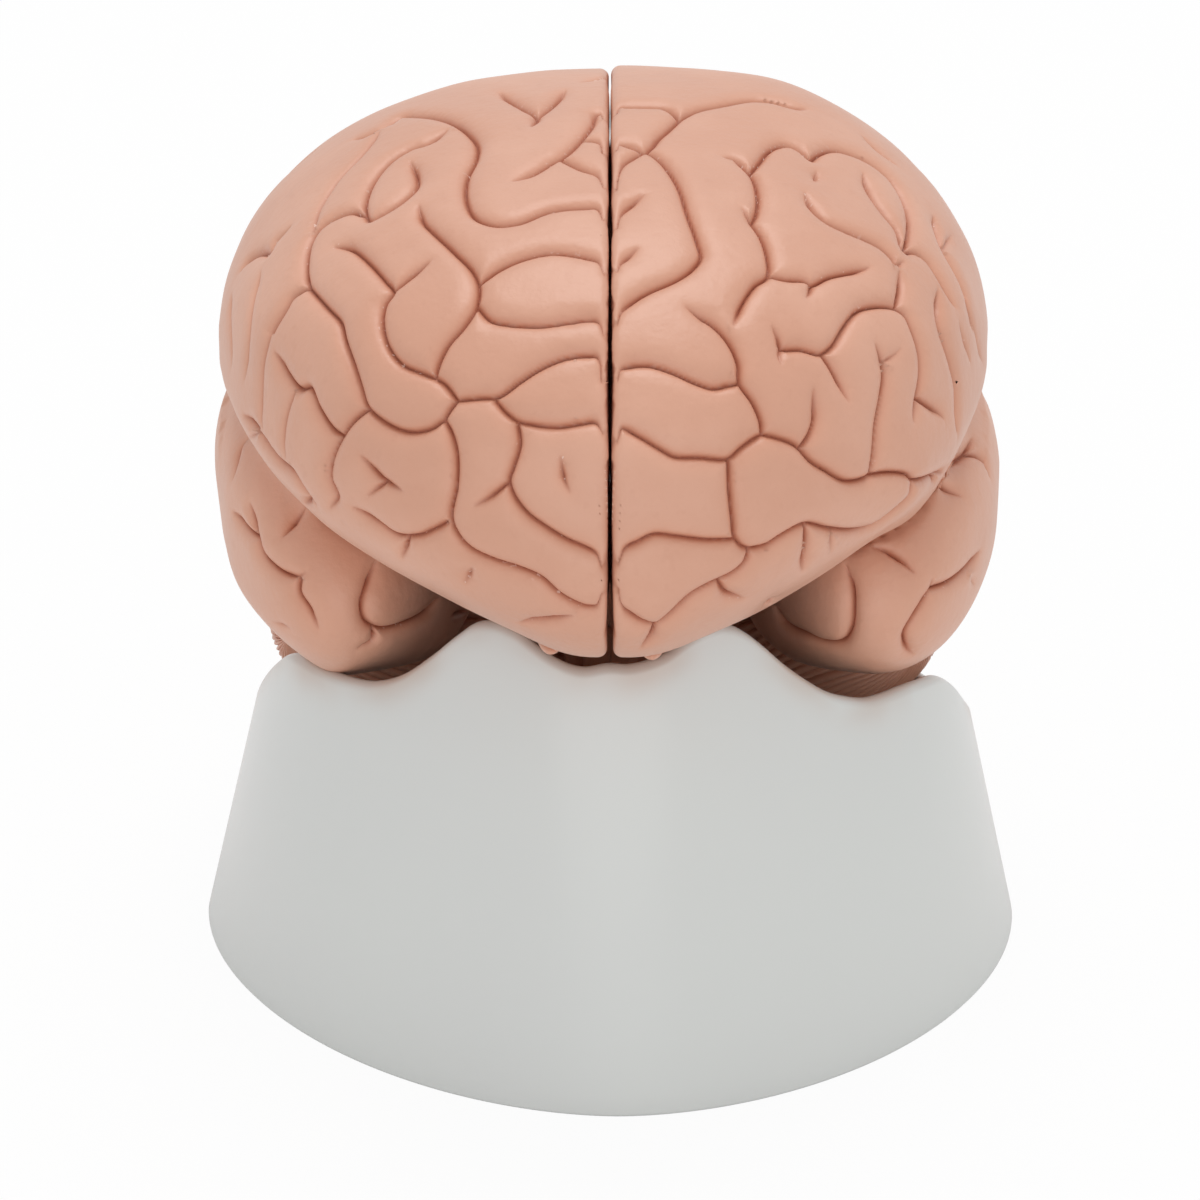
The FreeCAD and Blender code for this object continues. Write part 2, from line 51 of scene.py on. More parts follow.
# The cerebrum, as the solids have it. The outline is its middle section: share of the half
# length, share of the rise or drop from the widest place, and roundness towards the side there.
cerebrum = {
    "length": 170.0, "halfWidth": {-1: 69.0, 1: 66.8}, "rise": 43.5, "drop": 30.5,
    "widestY": 8.0, "widestZ": 112.0, "underRoundness": {-1: 1.55, 1: 1.66},
    # half the slit's width by height
    "slit": [(80.0, 0.62), (100.0, 0.45), (125.0, 0.3), (150.0, 0.2)],
    "slitRounding": 1.7, "slitDepth": 18.0, "slitTaper": 6.0,
    # swellings: amount, distance from the slit and its spread, direction round the middle and its spread
    "swells": {-1: [(1.7, 7.0, 8.0, -2.65, 0.45), (-0.8, 4.0, 20.0, 1.2, 0.6), (1.5, 50.0, 8.0, -2.75, 0.45)],
               1: [(1.7, 7.0, 8.0, -2.65, 0.45), (2.2, 33.0, 17.0, 1.2, 0.6), (4.2, 57.0, 9.0, -2.75, 0.45),
                   (2.6, 51.0, 6.0, -2.75, 0.45)]},
    "swellFade": 25.0,
    "outline": [
        (-1.0, -0.10, 2.0), (-0.953, 0.30, 2.0), (-0.80, 0.64, 2.1), (-0.541, 0.874, 2.15),
        (-0.212, 0.98, 2.15), (0.118, 1.0, 2.15), (0.447, 0.897, 2.15), (0.706, 0.655, 2.15),
        (0.906, 0.30, 2.1), (1.0, -0.26, 2.1), (0.953, -0.79, 2.0), (0.776, -1.115, 1.9),
        (0.447, -1.197, 1.7), (0.059, -1.148, "under"), (-0.329, -1.04, "under"),
        (-0.659, -0.995, "under"), (-0.859, -0.81, "under"), (-0.971, -0.49, 1.8)],
}
temporalLobe = {
    "size": (46.0, 112.0, 51.0), "offset": {-1: 46.9, 1: 46.5}, "y": 12.0, "z": 79.5, "lean": 6.0,
    "fullAbove": {-1: 1.5, 1: 0.75}, "fullBelow": 2.2, "slender": {-1: 0.9, 1: 0.0},
    "blend": 5.0, "blendFrom": {-1: 48.0, 1: 53.0}, "blendOver": 6.0}
olfactoryBulb = {"size": (5.2, 18.0, 4.0), "centre": {-1: (-9.9, -58.0, 84.6), 1: (7.0, -58.0, 83.6)}}
hindBrain = {
    "size": (66.0, 54.0, 40.0), "offset": {-1: 30.6, 1: 29.2}, "y": 32.0, "z": 45.0, "folia": 54, "segmentsPerFolium": 8,
    "rings": 72, "foliumDepth": 0.9, "fissureEvery": 9, "fissureDepth": 1.0, "halfSlit": 0.4,
    "pole": (0.86, -0.5, 0.08), "poleFade": 0.32,
}
brainStem = {
    "low": 29.0, "high": 87.0, "y": 6.0, "medulla": 8.0, "pons": 16.5, "segments": 96,
    "swell": [(0, 0.8, "medulla"), (0.25, 1, "medulla"), (0.45, 1.15, "medulla"), (0.65, 1, "pons"),
              (0.85, 0.9, "pons"), (1, 0.8, "pons")],
}
furrow = {
    "cut": 1.55, "cutWidth": 0.5, "dip": 0.58, "dipWidth": 1.8, "endTaper": 3.5, "joinReach": 1.3,
    "step": 0.1, "bands": (1.6, 0.9), "draw": 0.55, "longestJump": 3.0, "shortest": 2.5, "slitReach": 4.0,
    "steepest": 2.5, "wallRun": 0.6, "slitStrength": 0.35, "slitFade": 2.6, "meetingStrength": 0.8,
}

# Furrows of the right half (viewer's left) as seen from the reference view: millimetres right of
# and above the point looked at, in the plane through it that faces the eye.
rightLines = [
    [(-45.9, 83.2), (-41.4, 84.8), (-37.5, 87.3), (-34.8, 87.5), (-30, 86.9), (-26.4, 85.3), (-24.1, 82.8),
     (-24.3, 80.2), (-26, 76.3), (-26.1, 72.8), (-24.6, 69.7), (-21, 68.1), (-16.8, 68.4), (-11.1, 70.5),
     (-5.1, 71.2), (-2.2, 71.1), (-0.6, 69.1)],
    [(-44.9, 70), (-46.2, 70.4), (-49.8, 69.1), (-52.8, 66.9), (-54.6, 64), (-55.3, 59.5), (-54.9, 56.8)],
    [(-54.9, 56.8), (-51.6, 53.1), (-49.2, 50.4), (-48.4, 47.1), (-46.9, 42.5), (-45.6, 38.2), (-44.3, 34.6),
     (-41, 31.9), (-37.8, 30.5), (-35.5, 30.3), (-32.7, 31), (-30.4, 32.6)],
    [(-54.9, 56.8), (-57.5, 55), (-59.1, 52.3), (-60.8, 49.4), (-61.4, 48.1)],
    [(-29.5, 84.6), (-33, 82.6), (-36, 81.6), (-40.5, 78.7), (-43.5, 74.8), (-44.5, 70.9), (-43.7, 69),
     (-41.7, 69.7), (-37.5, 72.4), (-35.1, 75), (-35.1, 77.2), (-36, 79)],
    [(-49.8, 63.9), (-47.1, 63.9), (-44.1, 61.6), (-41.1, 58.3), (-39.5, 56.1), (-41, 53.5), (-41.5, 50.4),
     (-40.6, 46.1), (-38.1, 42.8), (-34.2, 41.1), (-30.6, 39.4), (-28, 36.2)],
    [(-39.5, 56.1), (-35.4, 59.4), (-32.6, 61.3)],
    [(-28, 36.2), (-23.8, 36.6), (-20.4, 36.9), (-16.4, 39.7), (-12.5, 42.2), (-8.4, 43.9), (-4.6, 44.5),
     (-2.4, 44.3), (-1.2, 42.6), (-0.8, 39.7)],
    [(-28, 36.2), (-29.4, 34.3), (-30.4, 32.6)],
    [(-30.4, 32.6), (-29.1, 30.3), (-28.1, 26.4), (-28.2, 20.6), (-29.2, 14.9), (-28.3, 12), (-25.8, 9),
     (-21.7, 6.9), (-16.6, 5.2), (-12.8, 3.5), (-9.7, 0.7), (-6.9, -1), (-3.9, -2), (-2.1, -1.6), (-1.2, -0.5)],
    [(-6.8, -1.7), (-6.4, -3.3)],
    [(-16.1, -4.5), (-12, -4.3), (-9.2, -3.9), (-7, -3.2)],
    [(-16.9, 31.7), (-16.6, 28.2), (-17.8, 24.1), (-18.6, 21.6), (-17.8, 18.8), (-15.4, 15.5), (-11.8, 12.8),
     (-7.9, 10.5), (-4.6, 9.1), (-2.2, 7.8), (-0.9, 6.2)],
    [(-18.9, 21), (-20.4, 19.7), (-22, 18.4), (-24.3, 17)],
    [(-20.9, 36), (-18.9, 33.8), (-17.1, 32.5), (-14.8, 31.9), (-9.5, 31.4), (-5.4, 32), (-2.9, 32.3), (-1, 30.8)],
    [(-34.6, 71.2), (-34, 69), (-31.8, 66.7), (-28.2, 63.3), (-25, 60), (-23.9, 57.1), (-24.3, 53.6),
     (-26.6, 49.8), (-29.6, 46.3), (-31.3, 43), (-31.9, 41)],
    [(-23.6, 57.7), (-20.4, 60), (-16.5, 61.8), (-11.1, 63), (-6.6, 62.7), (-2.1, 61.5), (-0.9, 60.1)],
    [(-24.1, 53.4), (-21.9, 51.1), (-18.7, 50.3), (-12.5, 49.9), (-7.7, 50.5), (-3.1, 51), (-1.5, 50.1), (-0.7, 48.9)],
    [(-19.8, 91.5), (-15, 88.8), (-13.2, 87.6), (-14.2, 85.5)],
    [(-13.1, 87.6), (-11.1, 89.1), (-8.1, 91.8)],
    [(-0.3, 87.1), (-1.4, 88.1), (-2.6, 88), (-3.1, 86.5), (-5.1, 83.8), (-8.1, 80.8), (-10.2, 79.6),
     (-13.8, 77.4), (-17.4, 75.7)],
    [(-5, 83.4), (-2.6, 83.1), (-1.2, 82.4), (-0.6, 81.1)],
    [(-8.7, 80), (-5.1, 78.3), (-2.2, 77.1), (-0.5, 74.8)],
    [(-60.6, 44.5), (-58.7, 40.5), (-56.6, 38), (-55, 38.3), (-53.1, 34.3), (-50.8, 30.8), (-49.1, 29.6)],
    [(-44.3, 34.5), (-47.1, 32.2), (-49.3, 29), (-50.8, 25.4), (-51.2, 21.8), (-49.9, 18.3), (-50.6, 16.4)],
    [(-46.5, 16.4), (-42.5, 13.7), (-38.5, 11.1), (-35, 11.1), (-32.1, 12.4), (-30, 13.6)],
    [(-37, 10.6), (-37.6, 7.5)],
    [(-25, 5.5), (-26.2, 3)],
    [(-45, 25.8), (-42.4, 22.6), (-41.1, 21.4), (-37.8, 19.7)],
    [(-41.1, 21.2), (-43.7, 18.8)],
    [(-9, 25.7), (-8.4, 21.8), (-7.4, 19.5)],
    [(-57.8, 67.2), (-60.6, 64.6), (-61.7, 62.8)],
    [(-61.7, 62.7), (-63.3, 62.9), (-65.5, 61.3), (-66.6, 59.5)],
    [(-54.3, 17.8), (-56.5, 15), (-58.9, 11.7)],
    [(-68, 15.7), (-65.8, 12.6), (-64.2, 11.4)],
    [(-64.9, 17.2), (-64, 11.3), (-62.9, 7.8), (-59.7, 5), (-56.5, 4.3), (-55.1, 4.9)],
    [(-56.2, 4.1), (-56.5, 1.4), (-54.6, -1.8), (-52.8, -5.1)],
    [(-42, 7), (-43.3, 3), (-44.3, -1), (-43.5, -4.2), (-40.7, -5.6), (-36.6, -4.6), (-32.3, -2.2), (-30.3, 0.4)],
    [(-42, -5.6), (-42.1, -7.5), (-44.9, -8.8)],
    [(-28.1, -3.3), (-25, -2.2)],
    [(-66.1, 33.1), (-63.8, 30.4), (-62.7, 28.5), (-60, 24.8), (-57.5, 22.7), (-55.2, 19.3), (-53.2, 17.2)],
]
rightFaintLines = [
    [(-41.4, 84.4), (-45, 80.2), (-49.8, 75.1), (-52.6, 70.5), (-53.6, 66.7)],
    [(-61.4, 48.1), (-62.7, 42.8), (-63.1, 37.1), (-63.1, 32.6), (-62.7, 31)],
    [(-5.4, 93.3), (-3.3, 93.8)],
    [(-57.3, 37.4), (-58.6, 33.3), (-59.1, 28.7), (-58.5, 25.7)],
    [(-63, 59.2), (-64.6, 53.5), (-65.6, 43.5), (-65.9, 39.7)],
    [(-68.2, 54.9), (-68.7, 51.2), (-68.2, 42.2)],
    [(-63.8, 30), (-66.5, 27.8), (-67.9, 21.8)],
    [(-60.5, -4.2), (-57.8, -5.3)],
]

# The same for the left half (viewer's right).
leftLines = [
    [(0.4, 88), (0.8, 88.8), (1.7, 89.1), (5.9, 89.1), (10, 88.9), (11.5, 88.2), (12.5, 87.2)],
    [(12.5, 87.2), (15, 88.5), (19.9, 89.6), (25, 90.4), (28.9, 90.1), (33.4, 88.9), (35.2, 88.6)],
    [(12.5, 87.2), (10, 84.9), (8.6, 83.7), (7.5, 82.3), (6.3, 81.3)],
    [(0.4, 81.6), (0.8, 82.2), (2, 82.5), (3.6, 82.2), (6.3, 81.3)],
    [(0.4, 74.3), (0.9, 76.4), (1.6, 78), (2.4, 79.2), (3.8, 80.2), (6.3, 81.3), (8, 80.7), (10, 79), (12.5, 75),
     (14.1, 70.1), (15.9, 65.1), (16.5, 62.6), (15, 60.5), (11.9, 58.4), (6.2, 55.8), (2.7, 53.3), (0.9, 50.9),
     (0.6, 50.1)],
    [(0.5, 67.5), (1.1, 69), (2.9, 71.1), (6, 73.2)],
    [(0.8, 59.7), (1.5, 60.8), (2.6, 61.8), (5, 63.7)],
    [(20.8, 80), (22.6, 79.8), (24.2, 78.6), (25.3, 77.5), (26.2, 76.2), (26.9, 73), (26.6, 70.5), (25.7, 68.7)],
    [(25.3, 77.5), (27.1, 79.6), (28.9, 81.7), (31.6, 82.5), (34.6, 81.4), (36.4, 79.9)],
    [(36.4, 79.9), (38, 81.1), (40.2, 81.6), (44, 80.5), (47.9, 78.3), (51.2, 75.4), (53.7, 71.3), (54.4, 67.4),
     (53.8, 63.8), (53.4, 63.2)],
    [(37.4, 77.3), (37, 75.8)],
    [(24.1, 70.7), (25.7, 68.7), (27.6, 66), (28.7, 62.3), (28.7, 59), (26.4, 57.3), (24.3, 54.3), (22.7, 50.7),
     (22.4, 49.8)],
    [(28.7, 59), (31.9, 58.3), (35.3, 58.1), (36.8, 57.4), (39.8, 58.8), (44, 59.6), (46.7, 59.9)],
    [(36.8, 57.4), (36.1, 55.5), (35.6, 54.7)],
    [(35.2, 73.3), (36.5, 71), (38.9, 68.7), (42.2, 67.1), (45.8, 65.6), (48.8, 64), (51.2, 61.8), (52, 60.6),
     (53, 61.1)],
    [(45.7, 76.8), (47.3, 73.3), (49.7, 69.9), (52.4, 66.5), (53.5, 63.2), (54.8, 63.3), (57.2, 61.7), (59.5, 58.2),
     (61.2, 54.9), (62.2, 53)],
    [(52.4, 59.3), (52.7, 56.6), (52.2, 53.4)],
    [(29.5, 49.4), (30.7, 47.3), (31.3, 45.8), (34.8, 45.6), (38.6, 44.7), (40.6, 46), (43, 49.9), (45, 52.4),
     (47.6, 53.3), (51.6, 53.1), (53.7, 51.6), (55.1, 48.4), (56.2, 44.3), (56.4, 40.2), (55.9, 36.5), (55, 32.4)],
    [(31.3, 45.8), (30.8, 44.3), (31, 42.9)],
    [(55.9, 36.5), (58, 35.1), (59.8, 33.7), (60.3, 32.8)],
    [(38.6, 44.7), (40.1, 42.4), (41.7, 39.2), (43, 36)],
    [(48.2, 46.1), (49.3, 43.8), (50, 40.5), (49.5, 36.4), (48.5, 31.5), (48.1, 26.4), (47.6, 22.6)],
    [(36.9, 37.9), (37.3, 32.8), (36.5, 29.9), (35, 27.6)],
    [(28, 29.9), (30.3, 29.4), (34, 27.9), (36.8, 25), (39.4, 23.4), (43.2, 21.3), (46.1, 21.5), (48, 22.4),
     (51.9, 22.8), (54.4, 22.3), (55.3, 21.3), (56.9, 21.4)],
    [(13.8, 53), (15.9, 51.7), (18.9, 49.9), (21.8, 46.7), (23.5, 42.9), (23.8, 39.5), (26.2, 36), (27.7, 32.5),
     (28, 29.9)],
    [(0.7, 40.7), (1.2, 41.6), (3.6, 42.6), (7, 42.8), (11.3, 41.5), (15.9, 39.4), (19, 38.5), (21.5, 39), (23.7, 39.4)],
    [(1.1, 29.9), (2, 31.2), (5.2, 29.7), (9.5, 27.1), (11.8, 25.9), (16.4, 25.7), (21.8, 25.5), (24.1, 27.4),
     (26.6, 29.2), (28, 29.9)],
    [(21.8, 25.4), (22, 19.8), (22.6, 14.1), (23, 10.8), (24.2, 9.2), (25.6, 8.6)],
    [(1, 6.9), (2.8, 9), (5.2, 10.2), (8, 11.5), (12.3, 11.1), (17.7, 10.4), (23, 10.4)],
    [(25.6, 8.6), (28.6, 9.2), (31.5, 11), (36, 13.2), (40, 12.2), (43.8, 11.8), (47, 12.6), (51.8, 16),
     (54.5, 18.8), (55, 21.5)],
    [(25.6, 8.6), (24.8, 6.4), (22.5, 4.4), (18.2, 2.3), (14.9, 0.3), (11, -3.4), (8.5, -5.1), (5.9, -4.7),
     (2.4, -2.2), (0.8, 0), (0.5, 1.6)],
    [(8.4, -5.2), (7.6, -7.2), (5.8, -8.8)],
    [(20, 2.6), (21.1, 0.8), (23.8, 0.1)],
    [(36, 13.2), (35.8, 9.4), (34.8, 5.1)],
    [(58.5, 69.1), (60.3, 63.2), (62.2, 59.6), (64.2, 55.1), (65.4, 50.1)],
    [(59.3, 55.7), (59.8, 49.9), (61.7, 43), (62.6, 38.4), (62.7, 30.3)],
    [(58.8, 21.6), (60.3, 20.4), (63.1, 18.9)],
    [(47, 9.9), (49.6, 9.2), (52.9, 7.1), (54.7, 5.2)],
    [(42.3, 6.2), (43.2, 2.4), (43.3, -1.6), (42.9, -5.6), (41.6, -8), (38.4, -8), (34.9, -6.5), (31.7, -5),
     (30.2, -3.5), (28.8, -0.2)],
    [(58.2, 3.5), (58.1, 2), (56.9, -0.5), (55, -3.7), (53.4, -6.8), (53.9, -9.5), (54.5, -9.9)],
    [(58.1, 2), (61.1, 2.8), (64.1, 4.8), (66.1, 7.1), (66.8, 8.6)],
    [(64.6, 26.7), (66, 26.6), (67.3, 25.9), (68.2, 24), (68.5, 22.5)],
    [(56.9, 21.4), (59.5, 22.3), (62.3, 24.5), (64.9, 27.3), (65.4, 29.2)],
]
leftFaintLines = [
    [(5.2, 43.9), (7, 43)],
    [(49.7, 43), (51.5, 44.2), (52.3, 45.2)],
    [(40.4, 11.8), (39.8, 8.6)],
    [(45.5, 83.4), (48.2, 81), (51.5, 78.4)],
    [(60.3, 63.3), (61.5, 65.6)],
    [(63, 49.9), (64.6, 44.8), (64.9, 42.8)],
    [(64.4, 54.5), (66, 48.6), (67.1, 43)],
    [(65.2, 3.9), (65.6, 2.8)],
]

# Both halves, where the reference view doesn't reach, drawn square to the side (y, z), to the back
# (distance from the slit, z), to the top (distance from the slit, y), to the underside in the same
# way, and to the slit (y, z).
sideLines = [
    [(26, 139), (24, 128), (19, 118), (22, 107)],
    [(41, 141), (40, 134), (34, 121), (39, 107)],
    [(56, 138), (50, 126), (55, 113), (50, 104)],
    [(67, 125), (60, 114), (67, 104), (63, 93)],
    [(40, 132), (48, 136), (58, 129)],
    [(34, 121), (42, 118), (50, 124)],
    [(55, 113), (61, 114)],
    [(28, 116), (32, 110), (30, 104)],
    [(44, 111), (47, 105)],
    [(67, 104), (74, 107), (80, 104)],
    [(70, 118), (76, 115)],
    [(10, 85), (28, 87), (46, 90), (56, 96)],
    [(10, 69), (16, 68), (36, 71), (52, 76), (60, 84)],
    [(12, 85), (16, 77), (16, 68)],
    [(34, 87), (32, 79), (36, 71)],
    [(46, 90), (50, 83), (52, 76)],
    [(12, 58.5), (28, 60), (40, 64)],
    [(16, 98), (24, 94), (34, 97)],
]
backLines = [
    [(2, 136), (14, 132), (24, 136), (36, 130)],
    [(2, 118), (12, 121), (22, 115), (30, 119)],
    [(2, 104), (16, 102), (24, 94), (36, 96)],
    [(6, 90), (16, 86), (28, 86)],
    [(14, 132), (12, 126), (16, 121)],
    [(30, 119), (38, 116), (42, 108), (50, 105)],
    [(22, 115), (26, 107), (22, 100)],
    [(36, 96), (40, 103), (38, 109)],
    [(8, 112), (14, 109)],
    [(36, 130), (42, 123)],
    [(40, 92), (48, 96), (54, 92)],
    [(8, 97), (14, 94)],
]
topLines = [
    [(30, 40), (34, 47), (40, 42)],
    [(34, 47), (30, 56), (34, 64)],
    [(8, 44), (16, 47), (24, 43)],
    [(2, 57), (10, 54), (18, 59), (24, 54)],
    [(14, 68), (20, 72)],
]
underLines = [
    [(42, -26), (45, -8), (42, 12), (46, 34), (42, 52)],
    [(55, -14), (57, 8), (54, 30)],
    [(34, 16), (33, 34), (30, 50), (34, 62)],
    [(14, 58), (22, 66), (20, 76)],
    [(8, -64), (9, -46), (8, -30)],
    [(20, -56), (24, -42), (20, -30)],
    [(24, -42), (32, -40)],
]
slitLines = [
    [(-40, 98), (-34, 112), (-12, 121), (14, 122), (34, 114), (40, 102)],
    [(-60, 98), (-54, 120), (-26, 135), (10, 137), (32, 132)],
    [(54, 138), (50, 120), (42, 106), (62, 101), (80, 99)],
]


def readPoints(piece):
    points = np.empty(len(piece.data.vertices) * 3)
    piece.data.vertices.foreach_get("co", points)
    return points.reshape(-1, 3) / mm


def writePoints(piece, points):
    piece.data.vertices.foreach_set("co", (points * mm).ravel())
    piece.data.update()


def closedCurve(points, count):
    # a closed smooth curve through points, by the distances between them
    points = np.array(points, float)
    n = len(points)
    chord = np.linalg.norm(np.roll(points[:, :2], -1, 0) - points[:, :2], axis=1)
    marks = np.concatenate([[0], np.cumsum(chord)])
    matrix, known = np.zeros((n, n)), np.zeros_like(points)
    for i in range(n):
        matrix[i, i - 1] = 1 / chord[i - 1]
        matrix[i, i] = 2 / chord[i - 1] + 2 / chord[i]
        matrix[i, (i + 1) % n] = 1 / chord[i]
        known[i] = 3 * ((points[i] - points[i - 1]) / chord[i - 1] ** 2
                        + (points[(i + 1) % n] - points[i]) / chord[i] ** 2)
    slope = np.linalg.solve(matrix, known)
    at = np.linspace(0, marks[-1], count, endpoint=False)
    k = np.clip(np.searchsorted(marks, at, side="right") - 1, 0, n - 1)
    span = chord[k][:, None]
    s = ((at - marks[k]) / chord[k])[:, None]
    nextPoint = (k + 1) % n
    return ((2 * s ** 3 - 3 * s ** 2 + 1) * points[k] + (s ** 3 - 2 * s ** 2 + s) * slope[k] * span
            + (3 * s ** 2 - 2 * s ** 3) * points[nextPoint] + (s ** 3 - s ** 2) * slope[nextPoint] * span)


def openCurve(points, step):
    # a smooth curve through points, as evenly spaced points
    points = np.array(points, float)
    ends = np.vstack([2 * points[0] - points[1], points, 2 * points[-1] - points[-2]])
    pieces = []
    for k in range(len(points) - 1):
        a, b, c, d = ends[k:k + 4]
        s = np.linspace(0, 1, 24, endpoint=False)[:, None]
        ab, bc, cd = [max(np.linalg.norm(q - p), 1e-6) ** 0.5 for p, q in ((a, b), (b, c), (c, d))]
        m1 = bc * ((b - a) / ab - (c - a) / (ab + bc) + (c - b) / bc)
        m2 = bc * ((c - b) / bc - (d - b) / (bc + cd) + (d - c) / cd)
        pieces.append((2 * s ** 3 - 3 * s ** 2 + 1) * b + (s ** 3 - 2 * s ** 2 + s) * m1
                      + (3 * s ** 2 - 2 * s ** 3) * c + (s ** 3 - s ** 2) * m2)
    line = np.vstack(pieces + [points[-1:]])
    run = np.concatenate([[0], np.cumsum(np.linalg.norm(np.diff(line, axis=0), axis=1))])
    count = max(3, int(run[-1] / step))
    even = np.linspace(0, run[-1], count)
    return np.column_stack([np.interp(even, run, line[:, i]) for i in range(line.shape[1])])


def slitAt(heights):
    levels, gaps = zip(*cerebrum["slit"])
    return np.interp(heights, levels, gaps)


def domeForm(side):
    # how far a point lies outside the cerebrum's half, rounded at the slit; the same with no slit;
    # and the slit's edge
    offsets = []
    for along, level, roundness in cerebrum["outline"]:
        reach = cerebrum["rise"] if level > 0 else cerebrum["drop"]
        power = cerebrum["underRoundness"][side] if roundness == "under" else roundness
        offsets.append((along * cerebrum["length"] / 2 - cerebrum["widestY"], level * reach, power))
    ring = closedCurve(offsets, 720)
    order = np.argsort(np.arctan2(ring[:, 1], ring[:, 0]))
    ring = ring[order]
    angles = np.arctan2(ring[:, 1], ring[:, 0])
    reaches = np.hypot(ring[:, 0], ring[:, 1])
    width, rounding = cerebrum["halfWidth"][side], cerebrum["slitRounding"]

    def whole(points):
        y, z = points[:, 1] - cerebrum["widestY"], points[:, 2] - cerebrum["widestZ"]
        turn = np.arctan2(z, y)
        away = np.hypot(y, z)
        reach = np.interp(turn, angles, reaches, period=2 * math.pi)
        power = np.interp(turn, angles, ring[:, 2], period=2 * math.pi)
        swell = np.zeros(len(points))
        for amount, beside, breadth, towards, spread in cerebrum["swells"][side]:
            turned = (turn - towards + math.pi) % (2 * math.pi) - math.pi
            off = (np.abs(points[:, 0]) - beside) / breadth
            swell += amount * np.exp(-off ** 2 - (turned / spread) ** 2)
        share = np.clip(np.abs(points[:, 0]) / width, 0, 1)
        beyond = np.maximum(np.abs(points[:, 0]) - width, 0)
        swell *= np.clip(away / cerebrum["swellFade"], 0, 1)
        left = np.maximum(1 - share ** power, 1e-6)
        steepness = np.minimum(reach / width * share ** (power - 1) * left ** (1 / power - 1), 6)
        return (away - reach * left ** (1 / power) + beyond - swell) / np.hypot(1, steepness)

    def outside(points):
        skin = whole(points)
        closing = np.clip((skin + cerebrum["slitDepth"]) / cerebrum["slitTaper"], 0, 1)
        slit = slitAt(points[:, 2]) * closing - side * points[:, 0]
        a, b = np.maximum(skin + rounding, 0), np.maximum(slit + rounding, 0)
        return np.minimum(np.maximum(skin, slit) + rounding, 0) + np.hypot(a, b) - rounding

    heights = ring[:, 1] + cerebrum["widestZ"]
    edge = np.column_stack([side * slitAt(heights), ring[:, 0] + cerebrum["widestY"], heights])
    return outside, whole, settled(edge, outside)


def settled(points, form):
    # points moved onto the form's surface
    reach = 0.05
    for _ in range(4):
        value = form(points)
        slope = np.column_stack([(form(points + reach * axis) - value) / reach for axis in np.eye(3)])
        points = points - slope * (value / np.maximum(np.sum(slope ** 2, axis=1), 0.2))[:, None]
    return points


def lobeForm(side, lobe):
    # the same for the temporal lobe, which is fuller above on its outer side and below on its inner side
    centre = np.array([side * lobe["offset"][side], lobe["y"], lobe["z"]])
    lean = math.radians(side * lobe["lean"])
    turn = np.array([[math.cos(lean), 0, math.sin(lean)], [0, 1, 0], [-math.sin(lean), 0, math.cos(lean)]])
    half = np.array(lobe["size"]) / 2

    def outside(points):
        local = (points - centre) @ turn
        unit = local / half
        outer = side * unit[:, 0]
        across = np.clip(2.5 * outer * unit[:, 2], -1, 1)
        full = np.where(outer > 0, lobe["fullAbove"][side], lobe["fullBelow"])
        power = 2 + np.where(across > 0, full * across, lobe["slender"][side] * across * (outer > 0))
        round2 = (np.abs(unit[:, 0]) ** power + np.abs(unit[:, 2]) ** power) ** (2 / power)
        scale = np.sqrt(round2 + unit[:, 1] ** 2)
        slope = np.maximum(np.linalg.norm(local / half ** 2, axis=1), 1e-6)
        return scale * (scale - 1) / slope

    return outside


def firstHit(form, starts, rays, near, far, step=1.2):
    # where rays first meet a form; rays that miss come back as not a number
    reached = np.full(len(starts), np.nan)
    waiting = np.ones(len(starts), bool)
    for distance in np.arange(near, far, step):
        inside = waiting.copy()
        inside[waiting] = form(starts[waiting] + rays[waiting] * distance) < 0
        reached[inside] = distance
        waiting &= ~inside
    hit = ~np.isnan(reached)
    low, high = reached[hit] - step, reached[hit]
    for _ in range(12):
        middle = (low + high) / 2
        outside = form(starts[hit] + rays[hit] * middle[:, None]) > 0
        low, high = np.where(outside, middle, low), np.where(outside, high, middle)
    found = np.full(starts.shape, np.nan)
    found[hit] = starts[hit] + rays[hit] * high[:, None]
    return found


def fromEye(line):
    points = target + np.outer(line[:, 0], [1, 0, 0]) + np.outer(line[:, 1], sightUp)
    rays = points - eye
    return eye + np.zeros_like(points), rays / np.linalg.norm(rays, axis=1)[:, None], 780, 1150


def square(line, axis, side, plane=None):
    # sight lines along one axis, from outside towards the middle
    ones = np.ones(len(line))
    if axis == "side":
        return np.column_stack([side * 95 * ones, line]), np.outer(ones, [-side, 0, 0]), 0, 90
    if axis == "back":
        return np.column_stack([side * line[:, 0], 100 * ones, line[:, 1]]), np.outer(ones, [0, -1, 0]), 0, 90
    height, way = (170, -1) if axis == "top" else (30, 1)
    return np.column_stack([side * line[:, 0], line[:, 1], height * ones]), np.outer(ones, [0, 0, way]), 0, 90


def joinShare(points):
    # how far the fissure over the temporal lobe has closed, from none in front to all at the side
    start = np.where(points[:, 0] < 0, temporalLobe["blendFrom"][-1], temporalLobe["blendFrom"][1])
    share = np.clip((np.abs(points[:, 0]) - start) / temporalLobe["blendOver"], 0, 1)
    return share * share * (3 - 2 * share)


def joined(form, neighbour):
    # a form filled out towards its neighbour where the fissure has closed
    blend = temporalLobe["blend"]

    def outside(points):
        own = form(points)
        near = np.maximum(blend - np.abs(own - neighbour(points)), 0)
        return own - joinShare(points) * near ** 2 / (4 * blend)

    return outside


